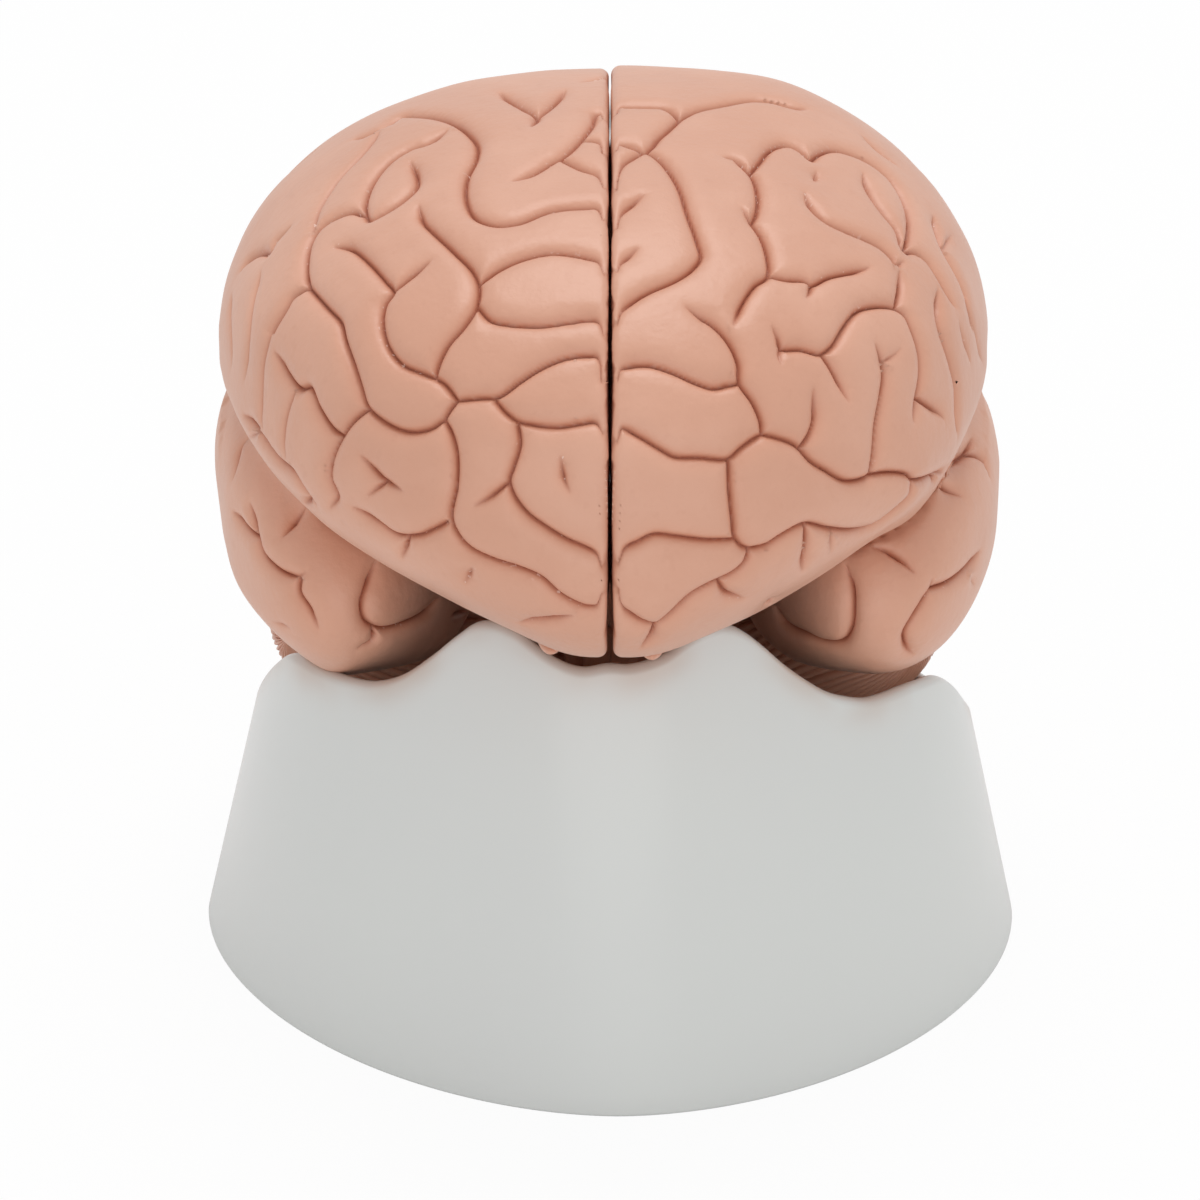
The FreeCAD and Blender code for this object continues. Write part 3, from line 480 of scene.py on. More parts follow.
def furrowPoints(side, dome, whole, temporal):
    # all furrows of one half as points on its skin, each with its strength
    joinedDome, joinedTemporal = joined(whole, temporal), joined(temporal, whole)

    def skin(points):
        return np.minimum(joinedDome(points), joinedTemporal(points))

    lines = []
    drawn = [(rightLines, 1.0), (rightFaintLines, 0.45)] if side < 0 else [(leftLines, 1.0), (leftFaintLines, 0.45)]
    for group, strength in drawn:
        for points in group:
            starts, rays, near, far = fromEye(openCurve(points, furrow["step"]))
            lines.append((firstHit(skin, starts, rays, near, far), strength))
    for group, axis in ((sideLines, "side"), (backLines, "back"), (topLines, "top"), (underLines, "under")):
        for points in group:
            starts, rays, near, far = square(openCurve(points, furrow["step"]), axis, side)
            lines.append((firstHit(skin, starts, rays, near, far), 1.0))
    for points in slitLines:
        line = openCurve(points, furrow["step"])
        lines.append((np.column_stack([side * slitAt(line[:, 1]), line]), 1.0))
    lines = [(part, strength) for line, strength in lines for part in unbroken(line[~np.isnan(line[:, 0])], dome)]
    everything = np.vstack([line for line, _ in lines])
    owner = np.concatenate([np.full(len(line), k) for k, (line, _) in enumerate(lines)])
    strengths = []
    for k, (line, strength) in enumerate(lines):
        run = np.concatenate([[0], np.cumsum(np.linalg.norm(np.diff(line, axis=0), axis=1))])
        fade = np.ones(len(line))
        others = everything[owner != k]
        for end, distance in ((line[0], run), (line[-1], run[-1] - run)):
            alone = np.min(np.linalg.norm(others - end, axis=1)) > furrow["joinReach"]
            if alone and abs(end[0]) > furrow["slitReach"]:
                fade = np.minimum(fade, 0.25 + 0.75 * np.clip(distance / furrow["endTaper"], 0, 1))
        beside = np.clip((np.abs(line[:, 0]) - 0.6) / furrow["slitFade"], 0, 1)
        strengths.append(strength * fade * (furrow["slitStrength"] + (1 - furrow["slitStrength"]) * beside))
    return everything, np.concatenate(strengths)


def unbroken(line, dome):
    # a line on the skin, parted where it jumps from one form to another, with even steps
    if len(line) < 5:
        return []
    jumps = np.where(np.linalg.norm(np.diff(line, axis=0), axis=1) > furrow["longestJump"])[0] + 1
    parts = []
    for part in np.split(line, jumps):
        run = np.concatenate([[0], np.cumsum(np.linalg.norm(np.diff(part, axis=0), axis=1))])
        if len(part) < 5 or run[-1] < furrow["shortest"]:
            continue
        even = np.linspace(0, run[-1], int(run[-1] / furrow["step"]) + 2)
        part = np.column_stack([np.interp(even, run, part[:, i]) for i in range(3)])
        part = intoSlit(smoothed(part))
        beside = np.abs(part[:, 0]) < furrow["slitReach"]
        if beside.any():
            part[beside] = settled(part[beside], dome)
        parts.append(part)
    return parts


def smoothed(line):
    # irons out what a glancing sight line leaves
    wide = np.vstack([line[:1]] * 4 + [line] + [line[-1:]] * 4)
    middle = sum(wide[k:k + len(line)] for k in range(9)) / 9
    middle[0], middle[-1] = line[0], line[-1]
    return middle


def intoSlit(line):
    # a furrow that comes close to the slit runs on over its edge and down its wall
    middle = np.array([0.0, cerebrum["widestY"], cerebrum["widestZ"]])
    for _ in range(2):
        line = line[::-1]
        end, before = line[-1], line[-min(len(line), 12)]
        if abs(end[0]) < furrow["slitReach"] and abs(before[0]) > abs(end[0]) + 0.02:
            left = math.copysign(float(slitAt(end[2])), end[0]) - end[0]
            over = (end - before) * left / (end[0] - before[0])
            if np.linalg.norm(over) > furrow["steepest"] * abs(left):
                over = np.array([left, 0.0, 0.0])
            down = (middle - end) * np.array([0, 1, 1])
            down /= np.linalg.norm(down)
            across = np.arange(1, max(int(np.linalg.norm(over) / furrow["step"]), 1) + 1)[:, None]
            below = np.arange(1, int(furrow["wallRun"] / furrow["step"]))[:, None] * furrow["step"]
            line = np.vstack([line, end + over * across / len(across), end + over + below * down])
    return line


def gridBall(name, squares):
    # a cube cut into squares, to be blown up to a rounded form
    bpy.ops.object.select_all(action="DESELECT")
    bpy.ops.mesh.primitive_cube_add(size=2)
    piece = bpy.context.object
    piece.name = name
    piece.data.name = name
    for axis, count in enumerate(squares):
        bpy.ops.object.mode_set(mode="EDIT")
        bpy.ops.mesh.select_mode(type="EDGE")
        bpy.ops.mesh.select_all(action="DESELECT")
        bpy.ops.object.mode_set(mode="OBJECT")
        points = readPoints(piece)
        for edge in piece.data.edges:
            a, b = edge.vertices
            edge.select = abs(points[a][axis] - points[b][axis]) > 1000
        bpy.ops.object.mode_set(mode="EDIT")
        bpy.ops.mesh.subdivide(number_cuts=count - 1)
        bpy.ops.object.mode_set(mode="OBJECT")
    return piece


def blowUp(form, centre, directions, reach=150.0):
    rays = directions / np.linalg.norm(directions, axis=1)[:, None]
    low, high = np.zeros(len(rays)), np.full(len(rays), reach)
    for _ in range(24):
        middle = (low + high) / 2
        outside = form(centre + rays * middle[:, None]) > 0
        low, high = np.where(outside, low, middle), np.where(outside, middle, high)
    return centre + rays * high[:, None]


def treeOf(points):
    tree = kdtree.KDTree(len(points))
    for k, point in enumerate(points):
        tree.insert(point, k)
    tree.balance()
    return tree


def nearest(tree, points):
    found = [tree.find(point)[1:] for point in points]
    return np.array([k for k, _ in found]), np.array([distance for _, distance in found])


def refineAlong(piece, tree, band):
    # squares near a furrow are halved
    centres = np.empty(len(piece.data.polygons) * 3)
    piece.data.polygons.foreach_get("center", centres)
    _, distance = nearest(tree, centres.reshape(-1, 3) / mm)
    bpy.ops.object.select_all(action="DESELECT")
    piece.select_set(True)
    bpy.context.view_layer.objects.active = piece
    bpy.ops.object.mode_set(mode="EDIT")
    bpy.ops.mesh.select_mode(type="FACE")
    bpy.ops.mesh.select_all(action="DESELECT")
    bpy.ops.object.mode_set(mode="OBJECT")
    piece.data.polygons.foreach_set("select", distance < band)
    bpy.ops.object.mode_set(mode="EDIT")
    bpy.ops.mesh.subdivide(number_cuts=1)
    bpy.ops.object.mode_set(mode="OBJECT")


def setAttribute(piece, name, values):
    attribute = piece.data.attributes.new(name, "FLOAT", "POINT")
    attribute.data.foreach_set("value", values.astype(np.float32))


def carve(piece, form, neighbour, centre, samples, strengths, edge):
    # fits a blown-up ball to its form and sinks its furrows
    tree, refined = treeOf(samples), treeOf(np.vstack([samples, edge]))
    for band in furrow["bands"]:
        refineAlong(piece, refined, band)
        writePoints(piece, blowUp(form, centre, readPoints(piece) - centre))
    points = readPoints(piece)
    index, distance = nearest(tree, points)
    drawn = np.clip(1 - distance / furrow["draw"], 0, 1)[:, None]
    writePoints(piece, points + (samples[index] - points) * drawn)
    bpy.ops.object.mode_set(mode="EDIT")
    bpy.ops.mesh.select_all(action="SELECT")
    bpy.ops.mesh.normals_make_consistent(inside=False)
    bpy.ops.object.mode_set(mode="OBJECT")
    points = readPoints(piece)
    normals = np.empty(len(points) * 3)
    piece.data.vertex_normals.foreach_get("vector", normals)
    normals = normals.reshape(-1, 3)
    index, distance = nearest(tree, points)
    meeting = np.abs(neighbour(points))
    closed = furrow["meetingStrength"] * (1 - joinShare(points))
    depth = np.maximum(sunk(distance, strengths[index]), sunk(meeting, closed))
    strength = np.where(sunk(meeting, closed) > sunk(distance, strengths[index]), closed, strengths[index])
    waves = np.array([noise.noise(Vector(point) / 13) for point in points])
    writePoints(piece, points - normals * (depth + 0.3 * waves)[:, None])
    # the furrow gap also places the painted crease shade in the plastic's colour
    setAttribute(piece, "furrowGap", np.minimum(distance, meeting))
    setAttribute(piece, "furrowStrength", strength)
    for polygon in piece.data.polygons:
        polygon.use_smooth = True
    print(piece.name, len(piece.data.polygons), "faces", len(piece.data.loop_triangles), "triangles")


def sunk(distance, strength):
    sharp = furrow["cut"] * np.exp(-distance / furrow["cutWidth"])
    soft = furrow["dip"] * np.exp(-(distance / furrow["dipWidth"]) ** 2)
    return strength * (sharp + soft)


def halfBrain(side, label):
    dome, whole, edge = domeForm(side)
    temporal = lobeForm(side, temporalLobe)
    samples, strengths = furrowPoints(side, dome, whole, temporal)
    pieces = []
    for name, squares, stretch, centre, form, neighbour in (
            ("cerebrum", (46, 100, 56), (34, 85, 42), (side * 22.0, 6.0, 112.0), joined(dome, temporal), temporal),
            ("temporal_lobe", (36, 76, 40), (23, 56, 25), (side * 46.0, 12.0, 79.5), joined(temporal, dome), dome)):
        piece = gridBall(f"{label}_{name}", squares)
        directions = np.tan(readPoints(piece) * mm * math.pi / 4)
        directions /= np.linalg.norm(directions, axis=1)[:, None]
        centre = np.array(centre)
        writePoints(piece, blowUp(form, centre, directions * stretch))
        carve(piece, form, neighbour, centre, samples, strengths, edge)
        pieces.append(piece)
    return pieces


def bulb(side, label):
    # the olfactory bulb under the frontal lobe
    bpy.ops.object.select_all(action="DESELECT")
    bpy.ops.mesh.primitive_uv_sphere_add(segments=48, ring_count=32, radius=1)
    piece = bpy.context.object
    piece.name = piece.data.name = f"{label}_olfactory_bulb"
    unit = readPoints(piece) * mm
    writePoints(piece, unit * np.array(olfactoryBulb["size"]) / 2 + np.array(olfactoryBulb["centre"][side]))
    # a furrow gap of 1.5 gives the bulb only a faint touch of the painted warm shade
    setAttribute(piece, "furrowGap", np.full(len(unit), 1.5))
    setAttribute(piece, "furrowStrength", np.full(len(unit), 1.0))
    bpy.ops.object.shade_smooth()
    return piece


def cutAtSlit(piece, side, gap):
    bpy.ops.object.mode_set(mode="EDIT")
    bpy.ops.mesh.select_all(action="SELECT")
    bpy.ops.mesh.bisect(plane_co=(side * gap * mm, 0, 0), plane_no=(side, 0, 0), use_fill=True,
                        clear_inner=True)
    bpy.ops.mesh.select_all(action="SELECT")
    bpy.ops.mesh.normals_make_consistent(inside=False)
    bpy.ops.object.mode_set(mode="OBJECT")


def cerebellum(side, label):
    # leaves run from a pole in front and outside round to the back, so there they lie level
    segments = hindBrain["folia"] * hindBrain["segmentsPerFolium"]
    bpy.ops.object.select_all(action="DESELECT")
    bpy.ops.mesh.primitive_uv_sphere_add(segments=segments, ring_count=hindBrain["rings"], radius=1)
    piece = bpy.context.object
    piece.name = piece.data.name = f"{label}_cerebellum"
    unit = readPoints(piece) * mm
    turn = np.arctan2(unit[:, 1], unit[:, 0])
    sway = 0.25 * np.sin(3 * unit[:, 2] + side) + 0.12 * np.sin(7 * unit[:, 2])
    number = turn / (2 * math.pi) * hindBrain["folia"]
    gap = np.abs(number - np.round(number))
    spacing = np.sqrt(np.clip(1 - unit[:, 2] ** 2, 0, 1))
    fade = np.clip(spacing / hindBrain["poleFade"], 0, 1)
    deep = np.round(number) % hindBrain["fissureEvery"] == 2
    depth = hindBrain["foliumDepth"] * np.exp(-gap / 0.17) + deep * hindBrain["fissureDepth"] * np.exp(-gap / 0.26)
    swung = np.column_stack([spacing * np.cos(turn + sway), spacing * np.sin(turn + sway), unit[:, 2]])
    pole = Vector((side * hindBrain["pole"][0],) + hindBrain["pole"][1:]).normalized()
    spun = swung @ np.array(pole.to_track_quat("Z", "Y").to_matrix()).T
    half = np.array(hindBrain["size"]) / 2
    centre = np.array([side * hindBrain["offset"][side], hindBrain["y"], hindBrain["z"]])
    normals = spun / half
    normals /= np.linalg.norm(normals, axis=1)[:, None]
    writePoints(piece, centre + spun * half - normals * (depth * fade)[:, None])
    # the furrow gap places the painted crease shade of the shader: dark lines painted between the folia, fainter
    # towards the pole
    setAttribute(piece, "furrowGap", gap * 2.2 + 0.3 + 1.5 * (1 - fade))
    setAttribute(piece, "furrowStrength", np.full(len(unit), 1.0))
    bpy.ops.object.shade_smooth()
    cutAtSlit(piece, side, hindBrain["halfSlit"])
    return piece


def stem(side, label):
    # midbrain, pons, medulla and the start of the cord as one turned form, halved at the slit
    bpy.ops.object.select_all(action="DESELECT")
    bpy.ops.mesh.primitive_cylinder_add(vertices=brainStem["segments"], radius=1, depth=2)
    piece = bpy.context.object
    piece.name = piece.data.name = f"{label}_brain_stem"
    bpy.ops.object.mode_set(mode="EDIT")
    bpy.ops.mesh.select_mode(type="EDGE")
    bpy.ops.mesh.select_all(action="DESELECT")
    bpy.ops.object.mode_set(mode="OBJECT")
    points = readPoints(piece)
    for edge in piece.data.edges:
        a, b = edge.vertices
        edge.select = abs(points[a][2] - points[b][2]) > 1000
    bpy.ops.object.mode_set(mode="EDIT")
    bpy.ops.mesh.subdivide(number_cuts=60)
    bpy.ops.object.mode_set(mode="OBJECT")
    unit = readPoints(piece) * mm
    share = (unit[:, 2] + 1) / 2
    shares = [row[0] for row in brainStem["swell"]]
    radii = [row[1] * brainStem[row[2]] for row in brainStem["swell"]]
    profile = openCurve(list(zip(shares, np.array(radii) / 60)), 0.004)
    radius = np.interp(share, profile[:, 0], profile[:, 1] * 60)
    turn = np.arctan2(unit[:, 1], unit[:, 0])
    below = np.clip((0.55 - share) / 0.08, 0, 1)
    pyramids = 0.9 * np.exp(-(np.abs(np.abs(turn + math.pi / 2) - 0.75) / 0.12) ** 2) * below
    across = 0.35 * np.exp(-(np.abs((share * 26) % 1 - 0.5) / 0.12) ** 2) * np.clip((share - 0.52) / 0.05, 0, 1)
    ponsEdge = 1.6 * np.exp(-((share - 0.53) / 0.018) ** 2)
    radius = radius - pyramids - across - ponsEdge
    height = brainStem["low"] + share * (brainStem["high"] - brainStem["low"])
    rim = np.hypot(unit[:, 0], unit[:, 1])
    points = np.column_stack([rim * radius * np.cos(turn), brainStem["y"] + rim * radius * np.sin(turn), height])
    writePoints(piece, points)
    bpy.ops.object.shade_smooth_by_angle(angle=math.radians(50))
    # painted shade: a small furrow gap over the whole stem paints it darker brown, as if shaded inside the stand,
    # darker still along the pyramids and the edge of the pons
    setAttribute(piece, "furrowGap", np.clip(0.25 - 0.2 * (pyramids + ponsEdge), 0.05, 1))
    setAttribute(piece, "furrowStrength", np.full(len(points), 1.0))
    cutAtSlit(piece, side, 0)
    return piece


# The stand: a drafted oval shell, high in front and low at the back. Its rim is given by points on
# the outer wall (x, y, z), from the middle of the front round each side to the back.
stand = {
    "halfWidth": 74.2, "halfLength": 76.0, "sideDraft": {-1: 13.1, 1: 12.2}, "frontDraft": 12.9, "wall": 3.0,
    "webTop": 29.0, "webUnder": 20.0, "clearance": 0.3, "segments": 480, "footRounding": 0.7,
    "plainAbove": 62.0, "footPoint": 0.18, "footTurn": 0.019,
    "rightRim": [(0, -58.1, 77.6), (-5.1, -58.1, 76.9), (-9.9, -57.2, 78.3), (-13, -56.1, 80.1), (-16.4, -54.6, 82.3),
                 (-20, -53.2, 83.1), (-23.6, -51.9, 82.2), (-26.8, -51, 79.5), (-31.7, -49.3, 74.6),
                 (-36.5, -47.1, 70.3), (-41.3, -43.6, 67.3), (-47, -38, 65.4), (-51.6, -31.7, 64.3),
                 (-55.7, -24.4, 62.9), (-58.3, -18.6, 61), (-60.6, -12.9, 57), (-62.6, -6, 51.5),
                 (-64.4, 2, 45), (-65.2, 12, 39.5), (-62, 26, 34), (-52, 44, 32), (-28, 62, 31), (0, 68.8, 31)],
    "leftRim": [(0, -58.1, 77.6), (3.2, -58.1, 77.4), (6.3, -57.8, 77.9), (10.5, -56.9, 79.4), (14, -55.6, 81.6),
                (17.2, -54.3, 82.9), (20.3, -53.2, 82.7), (23.6, -52.3, 80.7), (26.5, -51.5, 78), (30.1, -50.5, 74.2),
                (34.3, -48.8, 70.2), (38.2, -46.7, 66.9), (42, -43.9, 64.6), (45.3, -41.1, 63), (48, -37.9, 62.2),
                (51.5, -33, 61.3), (55.6, -26.7, 59.6), (58.9, -19.2, 57), (61.2, -13.7, 53.2), (63.9, -5.9, 46.5),
                (65.4, 3, 41), (65.8, 12, 37.8), (62, 26, 34), (52, 44, 32), (28, 62, 31), (0, 68.8, 31)],
}


def wallAt(turn, height, inset=0.0):
    # the plan is a little pointed towards the front at the foot, and turned there
    draft = np.where(np.sin(turn) < 0, stand["sideDraft"][-1], stand["sideDraft"][1])
    a = stand["halfWidth"] - height * np.tan(np.radians(draft)) - inset
    b = stand["halfLength"] - height * math.tan(math.radians(stand["frontDraft"])) - inset
    foot = np.clip(1 - height / stand["plainAbove"], 0, 1) * (np.cos(turn) > 0)
    power = 2 - stand["footPoint"] * foot
    reach = (np.abs(np.sin(turn)) ** power + np.abs(np.cos(turn)) ** power) ** (-1 / power)
    x, y = a * reach * np.sin(turn), -b * reach * np.cos(turn)
    return np.column_stack([x - stand["footTurn"] * foot * y, y, height + 0 * turn])


def rimHeights(turns):
    # height of the rim at each turn, counted from the front towards the viewer's right
    marks = []
    for x, y, z in stand["rightRim"] + stand["leftRim"][1:-1]:
        a = stand["halfWidth"] - z * math.tan(math.radians(stand["sideDraft"][-1 if x < 0 else 1]))
        b = stand["halfLength"] - z * math.tan(math.radians(stand["frontDraft"]))
        marks.append((math.atan2(x / a, -y / b), z))
    marks = sorted(set(marks))
    at, heights = np.array(marks).T
    at = np.concatenate([at[-3:] - 2 * math.pi, at, at[:3] + 2 * math.pi])
    heights = np.concatenate([heights[-3:], heights, heights[:3]])
    slope = np.gradient(heights, at)
    k = np.clip(np.searchsorted(at, turns, side="right") - 1, 0, len(at) - 2)
    span = at[k + 1] - at[k]
    s = (turns - at[k]) / span
    return ((2 * s ** 3 - 3 * s ** 2 + 1) * heights[k] + (s ** 3 - 2 * s ** 2 + s) * slope[k] * span
            + (3 * s ** 2 - 2 * s ** 3) * heights[k + 1] + (s ** 3 - s ** 2) * slope[k + 1] * span)


def makeStand():
    count = stand["segments"]
    turns = np.linspace(-math.pi, math.pi, count, endpoint=False)
    rim = rimHeights(turns)
    half = stand["wall"] / 2
    rows = []
    foot = stand["footRounding"]
    for angle in (90, 60, 30, 0):
        a = math.radians(angle)
        rows.append(wallAt(turns, foot * (1 - math.cos(a * 0 + math.radians(90 - angle))) + 0 * turns,
                           foot * (1 - math.sin(math.radians(90 - angle)))))
    levels = 26
    for k in range(1, levels + 1):
        rows.append(wallAt(turns, foot + (rim - half - foot) * k / levels))
    for angle in range(15, 166, 15):
        a = math.radians(angle)
        rows.append(wallAt(turns, rim - half + half * math.sin(a), half * (1 - math.cos(a))))
    webTop, webUnder, rounding = stand["webTop"], stand["webUnder"], 2.5
    inside = 12
    for k in range(inside + 1):
        rows.append(wallAt(turns, rim - half + (webTop + rounding - rim + half) * k / inside, stand["wall"]))
    for angle in (30, 60, 90):
        a = math.radians(angle)
        rows.append(wallAt(turns, webTop + rounding * (1 - math.sin(a)) + 0 * turns,
                           stand["wall"] + rounding * (1 - math.cos(a))))
    last = wallAt(turns, webTop + 0 * turns, stand["wall"] + rounding)
    shrink = 14
    for k in range(1, shrink):
        rows.append(last * np.array([1 - k / shrink, 1 - k / shrink, 1]))
    topCentre = np.array([[0, 0, webTop]])
    under = []
    first = wallAt(turns, webUnder + 0 * turns, stand["wall"] + rounding)
    for k in range(shrink - 1, 0, -1):
        under.append(first * np.array([1 - k / shrink, 1 - k / shrink, 1]))
    for angle in (90, 60, 30, 0):
        a = math.radians(angle)
        under.append(wallAt(turns, webUnder - rounding * (1 - math.sin(a)) + 0 * turns,
                            stand["wall"] + rounding * (1 - math.cos(a))))
    for k in range(1, 7):
        under.append(wallAt(turns, (webUnder - rounding) * (1 - k / 6) + 0 * turns, stand["wall"]))
    underCentre = np.array([[0, 0, webUnder]])
    rings = len(rows) + len(under)
    bpy.ops.object.select_all(action="DESELECT")
    bpy.ops.mesh.primitive_circle_add(vertices=count, radius=1)
    piece = bpy.context.object
    piece.name = piece.data.name = "stand_shell"
    points = np.vstack([topCentre, underCentre] + rows + under)
    faces = []
    for r in range(rings - 1):
        if r == len(rows) - 1:
            continue
        a, b = 2 + r * count, 2 + (r + 1) * count
        faces += [(a + k, a + (k + 1) % count, b + (k + 1) % count, b + k) for k in range(count)]
    endTop, startUnder = 2 + (len(rows) - 1) * count, 2 + len(rows) * count
    faces += [(endTop + k, endTop + (k + 1) % count, 0) for k in range(count)]
    faces += [(startUnder + (k + 1) % count, startUnder + k, 1) for k in range(count)]
    lastRing = 2 + (rings - 1) * count
    faces += [(lastRing + k, lastRing + (k + 1) % count, 2 + (k + 1) % count, 2 + k) for k in range(count)]
    below = np.concatenate([np.full(2, 90.0), (rim[None, :] - np.array([row[:, 2] for row in rows + under])).ravel()])
    low = seatUnderside(points)
    floor = (points[:, 2] > webUnder + 5) & (points[:, 2] < webTop + 0.5)
    points[floor, 2] = np.minimum(points[floor, 2], low[floor] - stand["clearance"])
    mesh = piece.data
    mesh.clear_geometry()
    mesh.from_pydata([tuple(p) for p in points * mm], [], faces)
    mesh.update()
    bpy.ops.object.mode_set(mode="EDIT")
    bpy.ops.mesh.select_all(action="SELECT")
    bpy.ops.mesh.normals_make_consistent(inside=False)
    bpy.ops.object.mode_set(mode="OBJECT")
    bpy.ops.object.shade_smooth_by_angle(angle=math.radians(60))
    # rimGap, the depth below the rim, places the painted shade and reflection under the rim
    setAttribute(piece, "rimGap", below)
    print("stand", len(mesh.polygons), "faces")
    return piece


def seatUnderside(points):
    # how low the cerebellum and the stem reach over each point
    low = np.full(len(points), 1000.0)
    half = np.array(hindBrain["size"]) / 2
    for side in (-1, 1):
        flat = ((points[:, 0] - side * hindBrain["offset"][side]) / half[0]) ** 2
        flat += ((points[:, 1] - hindBrain["y"]) / half[1]) ** 2
        under = hindBrain["z"] - half[2] * np.sqrt(np.clip(1 - flat, 0, 1))
        low = np.where(flat < 1, np.minimum(low, under), low)
    return low


class Wire:
    # one output of a shader node, so that node maths can be written as sums
    def __init__(self, tree, output=None):
        self.tree = tree
        self.output = output

    def node(self, kind, settings=None, inputs=None, output=0):
        made = self.tree.nodes.new(kind)
        for name, value in (settings or {}).items():
            setattr(made, name, value)
        for name, value in (inputs or {}).items():
            if isinstance(value, Wire):
                self.tree.links.new(value.output, made.inputs[name])
            else:
                made.inputs[name].default_value = value
        return Wire(self.tree, made.outputs[output] if made.outputs else None)

    def maths(self, operation, *values):
        return self.node("ShaderNodeMath", {"operation": operation}, dict(enumerate(values)))

    def __add__(self, other):
        return self.maths("ADD", self, other)

    def __sub__(self, other):
        return self.maths("SUBTRACT", self, other)

    def __mul__(self, other):
        return self.maths("MULTIPLY", self, other)

    def __truediv__(self, other):
        return self.maths("DIVIDE", self, other)

    def __pow__(self, other):
        return self.maths("POWER", self, other)

    def __radd__(self, other):
        return self.maths("ADD", other, self)

    def __rsub__(self, other):
        return self.maths("SUBTRACT", other, self)

    def __rmul__(self, other):
        return self.maths("MULTIPLY", other, self)

    def __rpow__(self, other):
        return self.maths("POWER", other, self)

    def clamped(self):
        return self.node("ShaderNodeClamp", {}, {"Value": self})

    def noise(self, scale, detail=3.0, roughness=0.5):
        # cells of about 1 / scale metres, fixed to the piece
        place = self.node("ShaderNodeTexCoord", {}, {}, "Object")
        inputs = {"Vector": place, "Scale": scale, "Detail": detail, "Roughness": roughness}
        return self.node("ShaderNodeTexNoise", {}, inputs, "Fac")

    def attribute(self, name):
        return self.node("ShaderNodeAttribute", {"attribute_name": name}, {}, "Fac")

    def mixed(self, factor, first, second):
        return self.node("ShaderNodeMix", {"data_type": "RGBA"}, {0: factor, 6: first, 7: second}, 2)

    def bumps(self, height, distance, strength=1.0):
        return self.node("ShaderNodeBump", {}, {"Height": height, "Distance": distance, "Strength": strength})

    def surface(self, **inputs):
        names = {name.replace("_", " ").title().replace("Ior", "IOR"): value for name, value in inputs.items()}
        return self.node("ShaderNodeBsdfPrincipled", {}, names)

    def into(self, kind):
        self.node(kind, {}, {"Surface": self})


def material(name):
    made = bpy.data.materials.new(name)
    made.use_nodes = True
    made.node_tree.nodes.clear()
    return made, Wire(made.node_tree)


def linear(red, green, blue):
    # a colour as a screen shows it, 0 to 255, in the shader's own scale
    shares = [value / 255 for value in (red, green, blue)]
    return [s / 12.92 if s < 0.04045 else ((s + 0.055) / 1.055) ** 2.4 for s in shares] + [1.0]


def brainMaterial():
    made, wire = material("brain_plastic")
    gap, strength = wire.attribute("furrowGap"), wire.attribute("furrowStrength")
    mottle = wire.noise(26, 4, 0.6)
    speckle = wire.noise(420, 2, 0.5)
    skin = wire.mixed(((mottle - 0.42) * 3.2).clamped(), linear(212, 158, 133), linear(221, 170, 146))
    skin = wire.mixed(((speckle - 0.58) * 6).clamped() * 0.2, skin, linear(202, 146, 121))
    # painted shade: the plastic is darkened and warmed towards each furrow, for the warm shade in the creases
    paintedWarmShade = (2.718 ** (gap * -1.1)) * strength * 0.45
    skin = wire.mixed(paintedWarmShade.clamped(), skin, linear(212, 138, 104))
    # painted shade: a thin dark brown line along the bottom of each furrow, where the crease is shaded
    line = (2.718 ** ((gap / 0.34) ** 2 * -1)) * strength
    skin = wire.mixed((line * 0.75).clamped(), skin, linear(158, 76, 48))
    crumbs = ((wire.noise(1250, 1, 0.5) - 0.66) * 16).clamped() * ((wire.noise(38, 2, 0.5) - 0.52) * 9).clamped()
    crumbs = crumbs * (2.718 ** ((gap / 0.7) ** 2 * -1))
    skin = wire.mixed((crumbs * 0.8).clamped(), skin, linear(238, 212, 198))
    grain = wire.noise(900, 2, 0.6) * 0.35 + wire.noise(260, 2, 0.6)
    shader = wire.surface(
        base_color=skin, roughness=0.43 + (mottle - 0.5) * 0.25 + line.clamped() * 0.2, ior=1.46,
        coat_weight=0.18, coat_roughness=0.38, normal=wire.bumps(grain, 0.0003, 0.7))
    shader.into("ShaderNodeOutputMaterial")
    return made


def standMaterial():
    made, wire = material("stand_plastic")
    clouds = wire.noise(14, 2, 0.5)
    tone = wire.mixed(((clouds - 0.35) * 2).clamped(), linear(211, 213, 211), linear(213, 216, 213))
    # painted shade and reflection: a warm brown band in patches just under the rim, for the brain's shadow and its
    # reflection on the stand
    rimGap = wire.attribute("rimGap")
    paintedShadePatches = ((wire.noise(42, 2, 0.5) - 0.35) * 3).clamped()
    paintedWarmShade = (2.718 ** ((rimGap / 4.2) ** 2 * -1)) * paintedShadePatches * 0.75
    tone = wire.mixed(paintedWarmShade.clamped(), tone, linear(188, 160, 142))
    shader = wire.surface(
        base_color=tone, roughness=0.3 + (clouds - 0.5) * 0.1, ior=1.5, coat_weight=0.4, coat_roughness=0.16,
        normal=wire.bumps(wire.noise(60, 2, 0.5), 0.00016, 0.5))
    shader.into("ShaderNodeOutputMaterial")
    return made


def pinMaterial():
    made, wire = material("pin_steel")
    brushing = wire.noise(700, 2, 0.5)
    tone = wire.mixed(brushing, linear(176, 176, 180), linear(200, 200, 204))
    shader = wire.surface(base_color=tone, metallic=1.0, roughness=0.28 + brushing * 0.1)
    shader.into("ShaderNodeOutputMaterial")
    return made


def dress(piece, node, finish):
    piece.data.materials.clear()
    piece.data.materials.append(finish)
    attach(piece, "root")
    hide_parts(node)


plastic, shell, steel = brainMaterial(), standMaterial(), pinMaterial()
for side, node in ((-1, "right_half"), (1, "left_half")):
    for piece in halfBrain(side, node) + [bulb(side, node), cerebellum(side, node), stem(side, node)]:
        dress(piece, node, plastic)
    print(node, "done")
dress(makeStand(), "stand", shell)
pins = bpy.data.objects["locating_pins"]
pins.data.materials.clear()
pins.data.materials.append(steel)


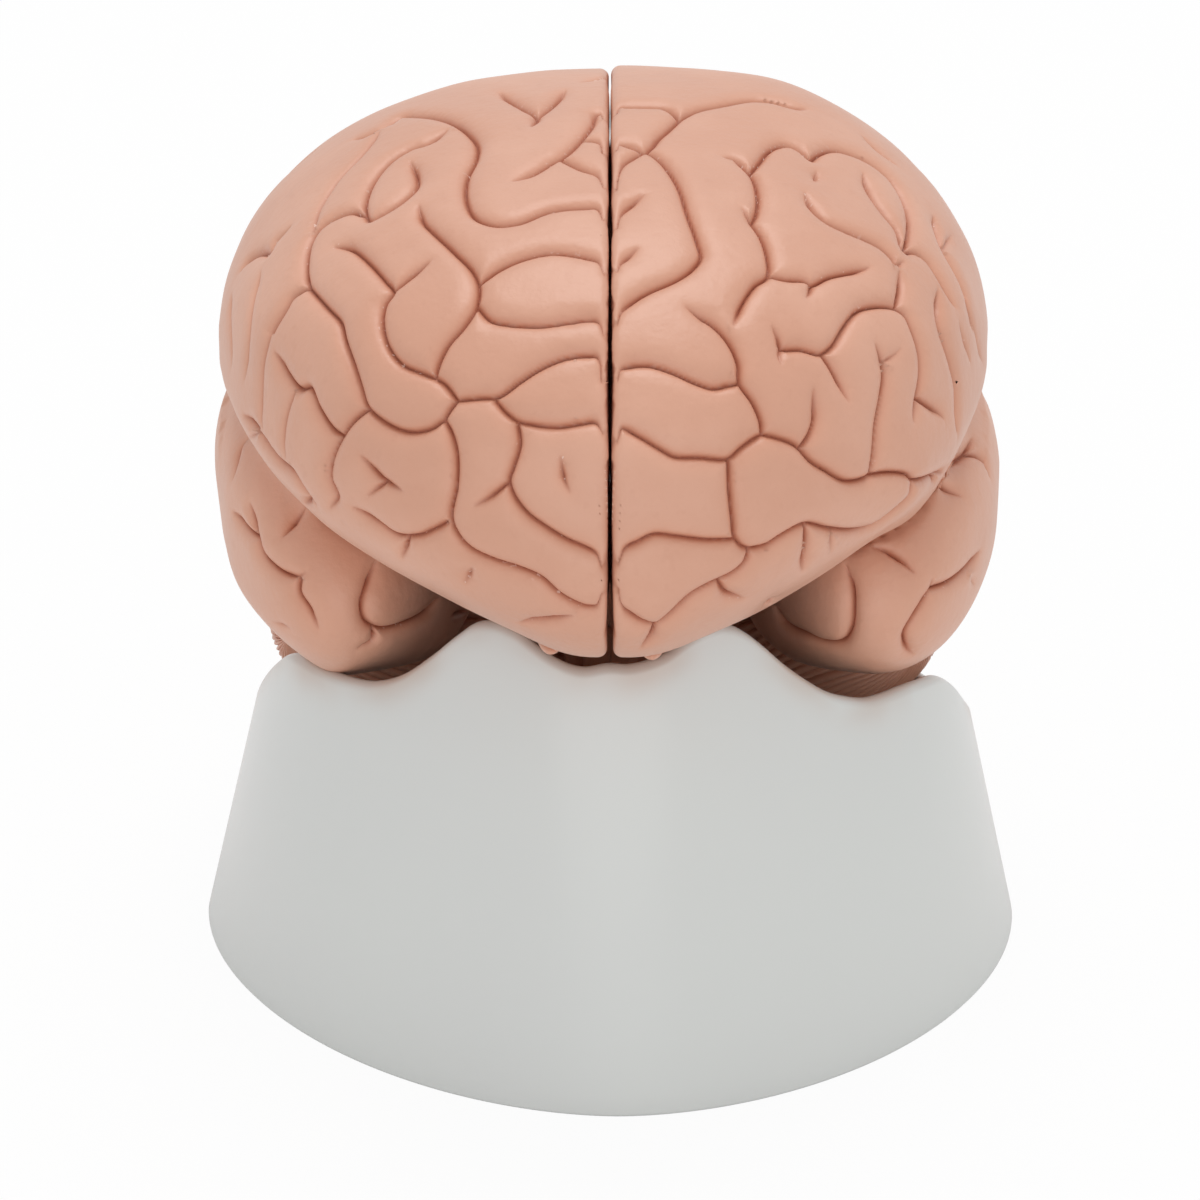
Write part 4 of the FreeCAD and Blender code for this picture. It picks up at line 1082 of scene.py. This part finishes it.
# The white table and the light.
room = {
    "floorSize": 6.0, "floorGlow": 0.93, "ambient": 0.73,
    "lamps": {
        # name: place, point it faces, size, watts
        "key": ((-0.35, -1.25, 0.85), (0, 0, 0.08), 0.9, 0.45),
        "fill": ((0.85, -1.1, 0.55), (0, 0, 0.08), 0.9, 0.65),
        "low": ((0.0, -1.35, 0.2), (0, 0, 0.09), 0.9, 2.2),
        "top": ((0.05, 0.4, 1.4), (0, 0, 0.1), 0.9, 7.0),
    },
}


def makeFloor():
    bpy.ops.mesh.primitive_plane_add(size=room["floorSize"])
    floor = bpy.context.object
    floor.name = "table_top"
    made, wire = material("table_white")
    seen = wire.node("ShaderNodeLightPath", {}, {}, "Is Camera Ray")
    matt = wire.node("ShaderNodeBsdfDiffuse", {}, {"Color": linear(240, 240, 240)})
    glow = wire.node("ShaderNodeEmission", {}, {"Color": (1, 1, 1, 1), "Strength": 1.0})
    mixed = wire.node("ShaderNodeMixShader", {}, {0: seen * room["floorGlow"], 1: matt, 2: glow})
    mixed.into("ShaderNodeOutputMaterial")
    floor.data.materials.append(made)


def makeWorld():
    world = bpy.data.worlds.new("white")
    bpy.context.scene.world = world
    world.use_nodes = True
    world.node_tree.nodes.clear()
    wire = Wire(world.node_tree)
    seen = wire.node("ShaderNodeLightPath", {}, {}, "Is Camera Ray")
    strength = room["ambient"] + seen * (1 - room["ambient"])
    wire.node("ShaderNodeBackground", {}, {"Color": (1, 1, 1, 1), "Strength": strength}).into("ShaderNodeOutputWorld")


def makeLamps():
    for name, (place, faced, size, power) in room["lamps"].items():
        bpy.ops.object.light_add(type="AREA", location=place)
        lamp = bpy.context.object
        lamp.name = f"{name}_lamp"
        lamp.data.shape = "DISK"
        lamp.data.size = size
        lamp.data.energy = power
        lamp.rotation_euler = (Vector(faced) - Vector(place)).to_track_quat("-Z", "Y").to_euler()


def makeCamera():
    bpy.ops.object.camera_add(location=eye * mm, rotation=(math.radians(90 - sight["tilt"]), 0, 0))
    camera = bpy.context.object
    camera.data.sensor_width = 36
    camera.data.lens = camera.data.sensor_width * sight["pixelsPerTangent"] / sight["imageWidth"]
    camera.data.shift_x = (sight["imageWidth"] / 2 - sight["middlePixel"]) / sight["imageWidth"]
    bpy.context.scene.camera = camera


makeFloor()
makeWorld()
makeLamps()
makeCamera()
bpy.context.scene.view_settings.view_transform = "Standard"
print("stage done")
